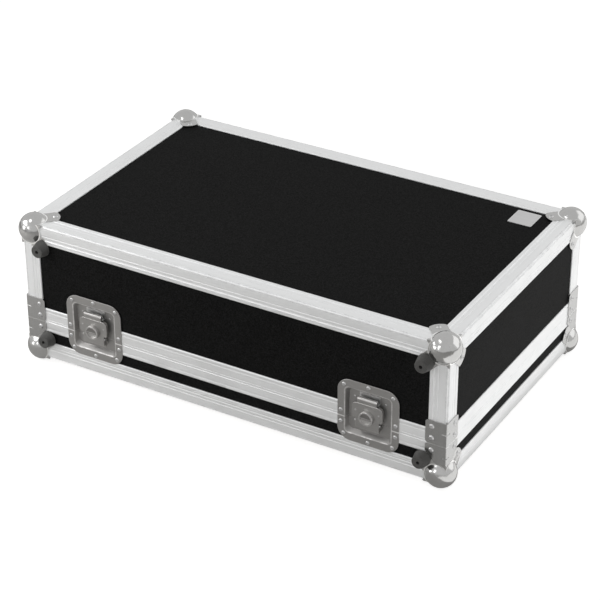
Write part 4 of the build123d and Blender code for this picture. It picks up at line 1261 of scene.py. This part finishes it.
@dataclass
class Grip:
    """Moulded grip with shallow finger grooves round the bar of the handle."""

    centre: Span = (225.0 * MM, 140.2 * MM)
    length: float = 72.0 * MM
    radius: float = 6.0 * MM
    bore: float = 3.5 * MM
    groove: float = 0.75 * MM
    grooves: int = 4
    plain_end: float = 0.1
    lip: float = 1.2 * MM
    lip_fall: float = 0.8
    rounds: int = 48
    stations: int = 97

    def outline(self) -> list[Span]:
        """Draw the grip's outer line.

        Returns:
            Its points: place along the bar and radius.
        """
        points = []
        for i in range(self.stations):
            share = i / (self.stations - 1)
            grooved = min(max((share - self.plain_end) / (1.0 - 2 * self.plain_end), 0.0), 1.0)
            wave = 0.5 - 0.5 * math.cos(math.tau * self.grooves * grooved)
            lip = max(0.0, self.lip - min(share, 1.0 - share) * self.length)
            radius = self.radius - self.groove * wave - lip * self.lip_fall
            points.append(((share - 0.5) * self.length, radius))
        return points

    def build(self) -> Piece:
        """Turn the outline round the bar and close it inside.

        Returns:
            The grip piece.
        """
        y, z = self.centre
        section = self.outline() + [(self.length / 2, self.bore), (-self.length / 2, self.bore)]
        shape = bmesh.new()
        rings = [[shape.verts.new((x, y + r * math.cos(turn), z + r * math.sin(turn))) for x, r in section]
                 for turn in circle(self.rounds)]
        for ring, following in zip(rings, rings[1:] + rings[:1]):
            bridge(shape, ring, following)
        piece = mesh_piece("handle_grip_moulded", shape, GRIP, Body.HANDLE)
        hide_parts("handle_grip")
        return piece


def towards(azimuth: float, elevation: float) -> Vector:
    """Return the direction at two angles in radians: azimuth 0 is the front, a quarter turn the right."""
    flat = math.cos(elevation)
    return Vector((math.sin(azimuth) * flat, -math.cos(azimuth) * flat, math.sin(elevation)))


@dataclass(frozen=True)
class SoftLight:
    """A flat soft light, placed by its direction in degrees: azimuth 0 is the front, 90 the right."""

    name: str
    azimuth: float
    elevation: float
    distance: float
    width: float
    height: float
    radiance: float
    aim: Point = (0.0, 0.0, 0.15)

    def build(self) -> None:
        """Hang the light and turn it towards the case."""
        away = towards(math.radians(self.azimuth), math.radians(self.elevation))
        data = bpy.data.lights.new(self.name, "AREA")
        data.shape = "RECTANGLE"
        data.size, data.size_y = self.width, self.height
        data.energy = self.radiance * math.pi * self.width * self.height
        lamp = add_object(self.name, data)
        lamp.visible_camera = False
        lamp.location = Vector(self.aim) + away * self.distance
        lamp.rotation_euler = (-away).to_track_quat("-Z", "Y").to_euler()
        log.info("light %s at %.0f W", self.name, data.energy)


@dataclass
class Studio:
    """Pale floor, soft lights, world and the camera at the photograph's angle."""

    focal_pixels: float = 2097.18
    picture_pixels: float = 600.0
    sensor: float = 36.0
    far_clip: float = 100.0
    camera_place: Point = (1.44765, -2.48100, 1.77394)
    azimuth: float = 0.529580
    elevation: float = 0.527361
    roll: float = -0.002669
    floor_half: float = 9.0
    floor_squares: int = 8
    floor_colour: Colour = (0.56, 0.55, 0.535)
    floor_roughness: float = 0.9
    floor_lift: float = 0.82
    floor_gloss: float = 0.146
    world_diffuse: float = 0.322
    world_gloss: float = 0.79
    lights: tuple[SoftLight, ...] = (
        SoftLight("window_right", 133.0, 25.0, 3.0, 3.6, 2.0, 0.78),
        SoftLight("sheet_on_floor_right", 0.0, -90.0, 0.994, 2.0, 2.8, 0.82, aim=(1.39, 0.9, 1.0)),
        SoftLight("lamp_high_left", -40.0, 57.0, 2.6, 0.95, 0.5, 2.5),
        SoftLight("lamp_front_left", -16.0, 19.0, 3.0, 0.75, 0.85, 3.15),
        SoftLight("lamp_low_left", -48.0, 6.0, 3.2, 0.9, 0.5, 5.0),
        SoftLight("lamp_over_floor_left", 0.0, 90.0, 0.6, 0.6, 0.5, 4.4, aim=(-0.95, -0.62, 0.0)),
    )

    def camera(self) -> None:
        """Set the camera where the photograph was taken from."""
        backward = towards(self.azimuth, self.elevation)
        right = Vector((0.0, 0.0, 1.0)).cross(backward).normalized()
        upward = backward.cross(right)
        cr, sr = math.cos(self.roll), math.sin(self.roll)
        data = bpy.data.cameras.new("camera")
        data.sensor_width = self.sensor
        data.lens = self.sensor * self.focal_pixels / self.picture_pixels
        data.clip_end = self.far_clip
        eye = add_object("camera", data)
        axes = Matrix((cr * right + sr * upward, cr * upward - sr * right, backward)).transposed()
        eye.matrix_world = Matrix.Translation(self.camera_place) @ axes.to_4x4()
        bpy.context.scene.camera = eye

    def seen(self, graph: Graph, gloss: float) -> Socket:
        """Work out how much of the plain background a ray shows.

        Args:
            graph: The graph of the world or of the floor's material.
            gloss: How much of it metal shows.

        Returns:
            1 for camera rays and rays through glass, the gloss share for rays off metal, else 0.
        """
        path = graph.node("ShaderNodeLightPath").outputs
        found = graph.math("MAXIMUM", path["Is Camera Ray"], graph.times(path["Is Glossy Ray"], gloss))
        return graph.math("MAXIMUM", found, path["Is Transmission Ray"])

    def floor(self) -> None:
        """Lay a plain pale floor that keeps the object's shadow."""
        shape = bmesh.new()
        bmesh.ops.create_grid(shape, x_segments=self.floor_squares, y_segments=self.floor_squares,
                              size=self.floor_half)
        ground = add_object("floor", shape)
        shape.free()
        made = bpy.data.materials.new("pale_floor")
        ground.data.materials.append(made)
        graph = Graph.cleared(made)
        shader = graph.node("ShaderNodeBsdfPrincipled")
        lift = graph.times(self.seen(graph, self.floor_gloss), self.floor_lift)
        graph.fill(shader.inputs, Base_Color=(*self.floor_colour, 1.0), Roughness=self.floor_roughness,
                   Specular_IOR_Level=0.0, Emission_Color=(1.0, 1.0, 1.0, 1.0), Emission_Strength=lift)
        graph.node("ShaderNodeOutputMaterial", shader.outputs[0])

    def world(self) -> None:
        """White surroundings for what sees them, at a plain level for the light that they give."""
        made = bpy.data.worlds.new("studio")
        bpy.context.scene.world = made
        graph = Graph.cleared(made)
        strength = graph.math("MAXIMUM", self.seen(graph, self.world_gloss), self.world_diffuse)
        back = graph.node("ShaderNodeBackground", (1.0, 1.0, 1.0, 1.0), strength)
        graph.node("ShaderNodeOutputWorld", back.outputs[0])

    def build(self) -> None:
        """Set up camera, floor, world and lights."""
        self.camera()
        self.floor()
        self.world()
        for light in self.lights:
            light.build()
        bpy.context.scene.view_settings.view_transform = "Standard"


def main() -> None:
    """Build the case's pieces in order, then the studio."""
    logging.basicConfig(level=logging.INFO, format="%(name)s: %(message)s")
    base_foam = FoamTray("foam_base", Body.BASE, outer=21.2 * MM, inner=77.2 * MM, sheet=12 * MM, hill=7 * MM)
    lid_foam = FoamTray("foam_lid", Body.LID, outer=238.2 * MM, inner=79.2 * MM, sheet=20 * MM, hill=11 * MM,
                        pocket=(Vector((-0.066, 0.2140, 0.1202)), Vector((0.066, 0.2300, 0.2002))))
    for part in (Walls(), Frame(), Corners(), Latch(hand=Hand.RIGHT), Latch(hand=Hand.LEFT), Fittings(),
                 Grip(), base_foam, lid_foam):
        part.build()
    Studio().build()


if __name__ == "__main__":
    main()
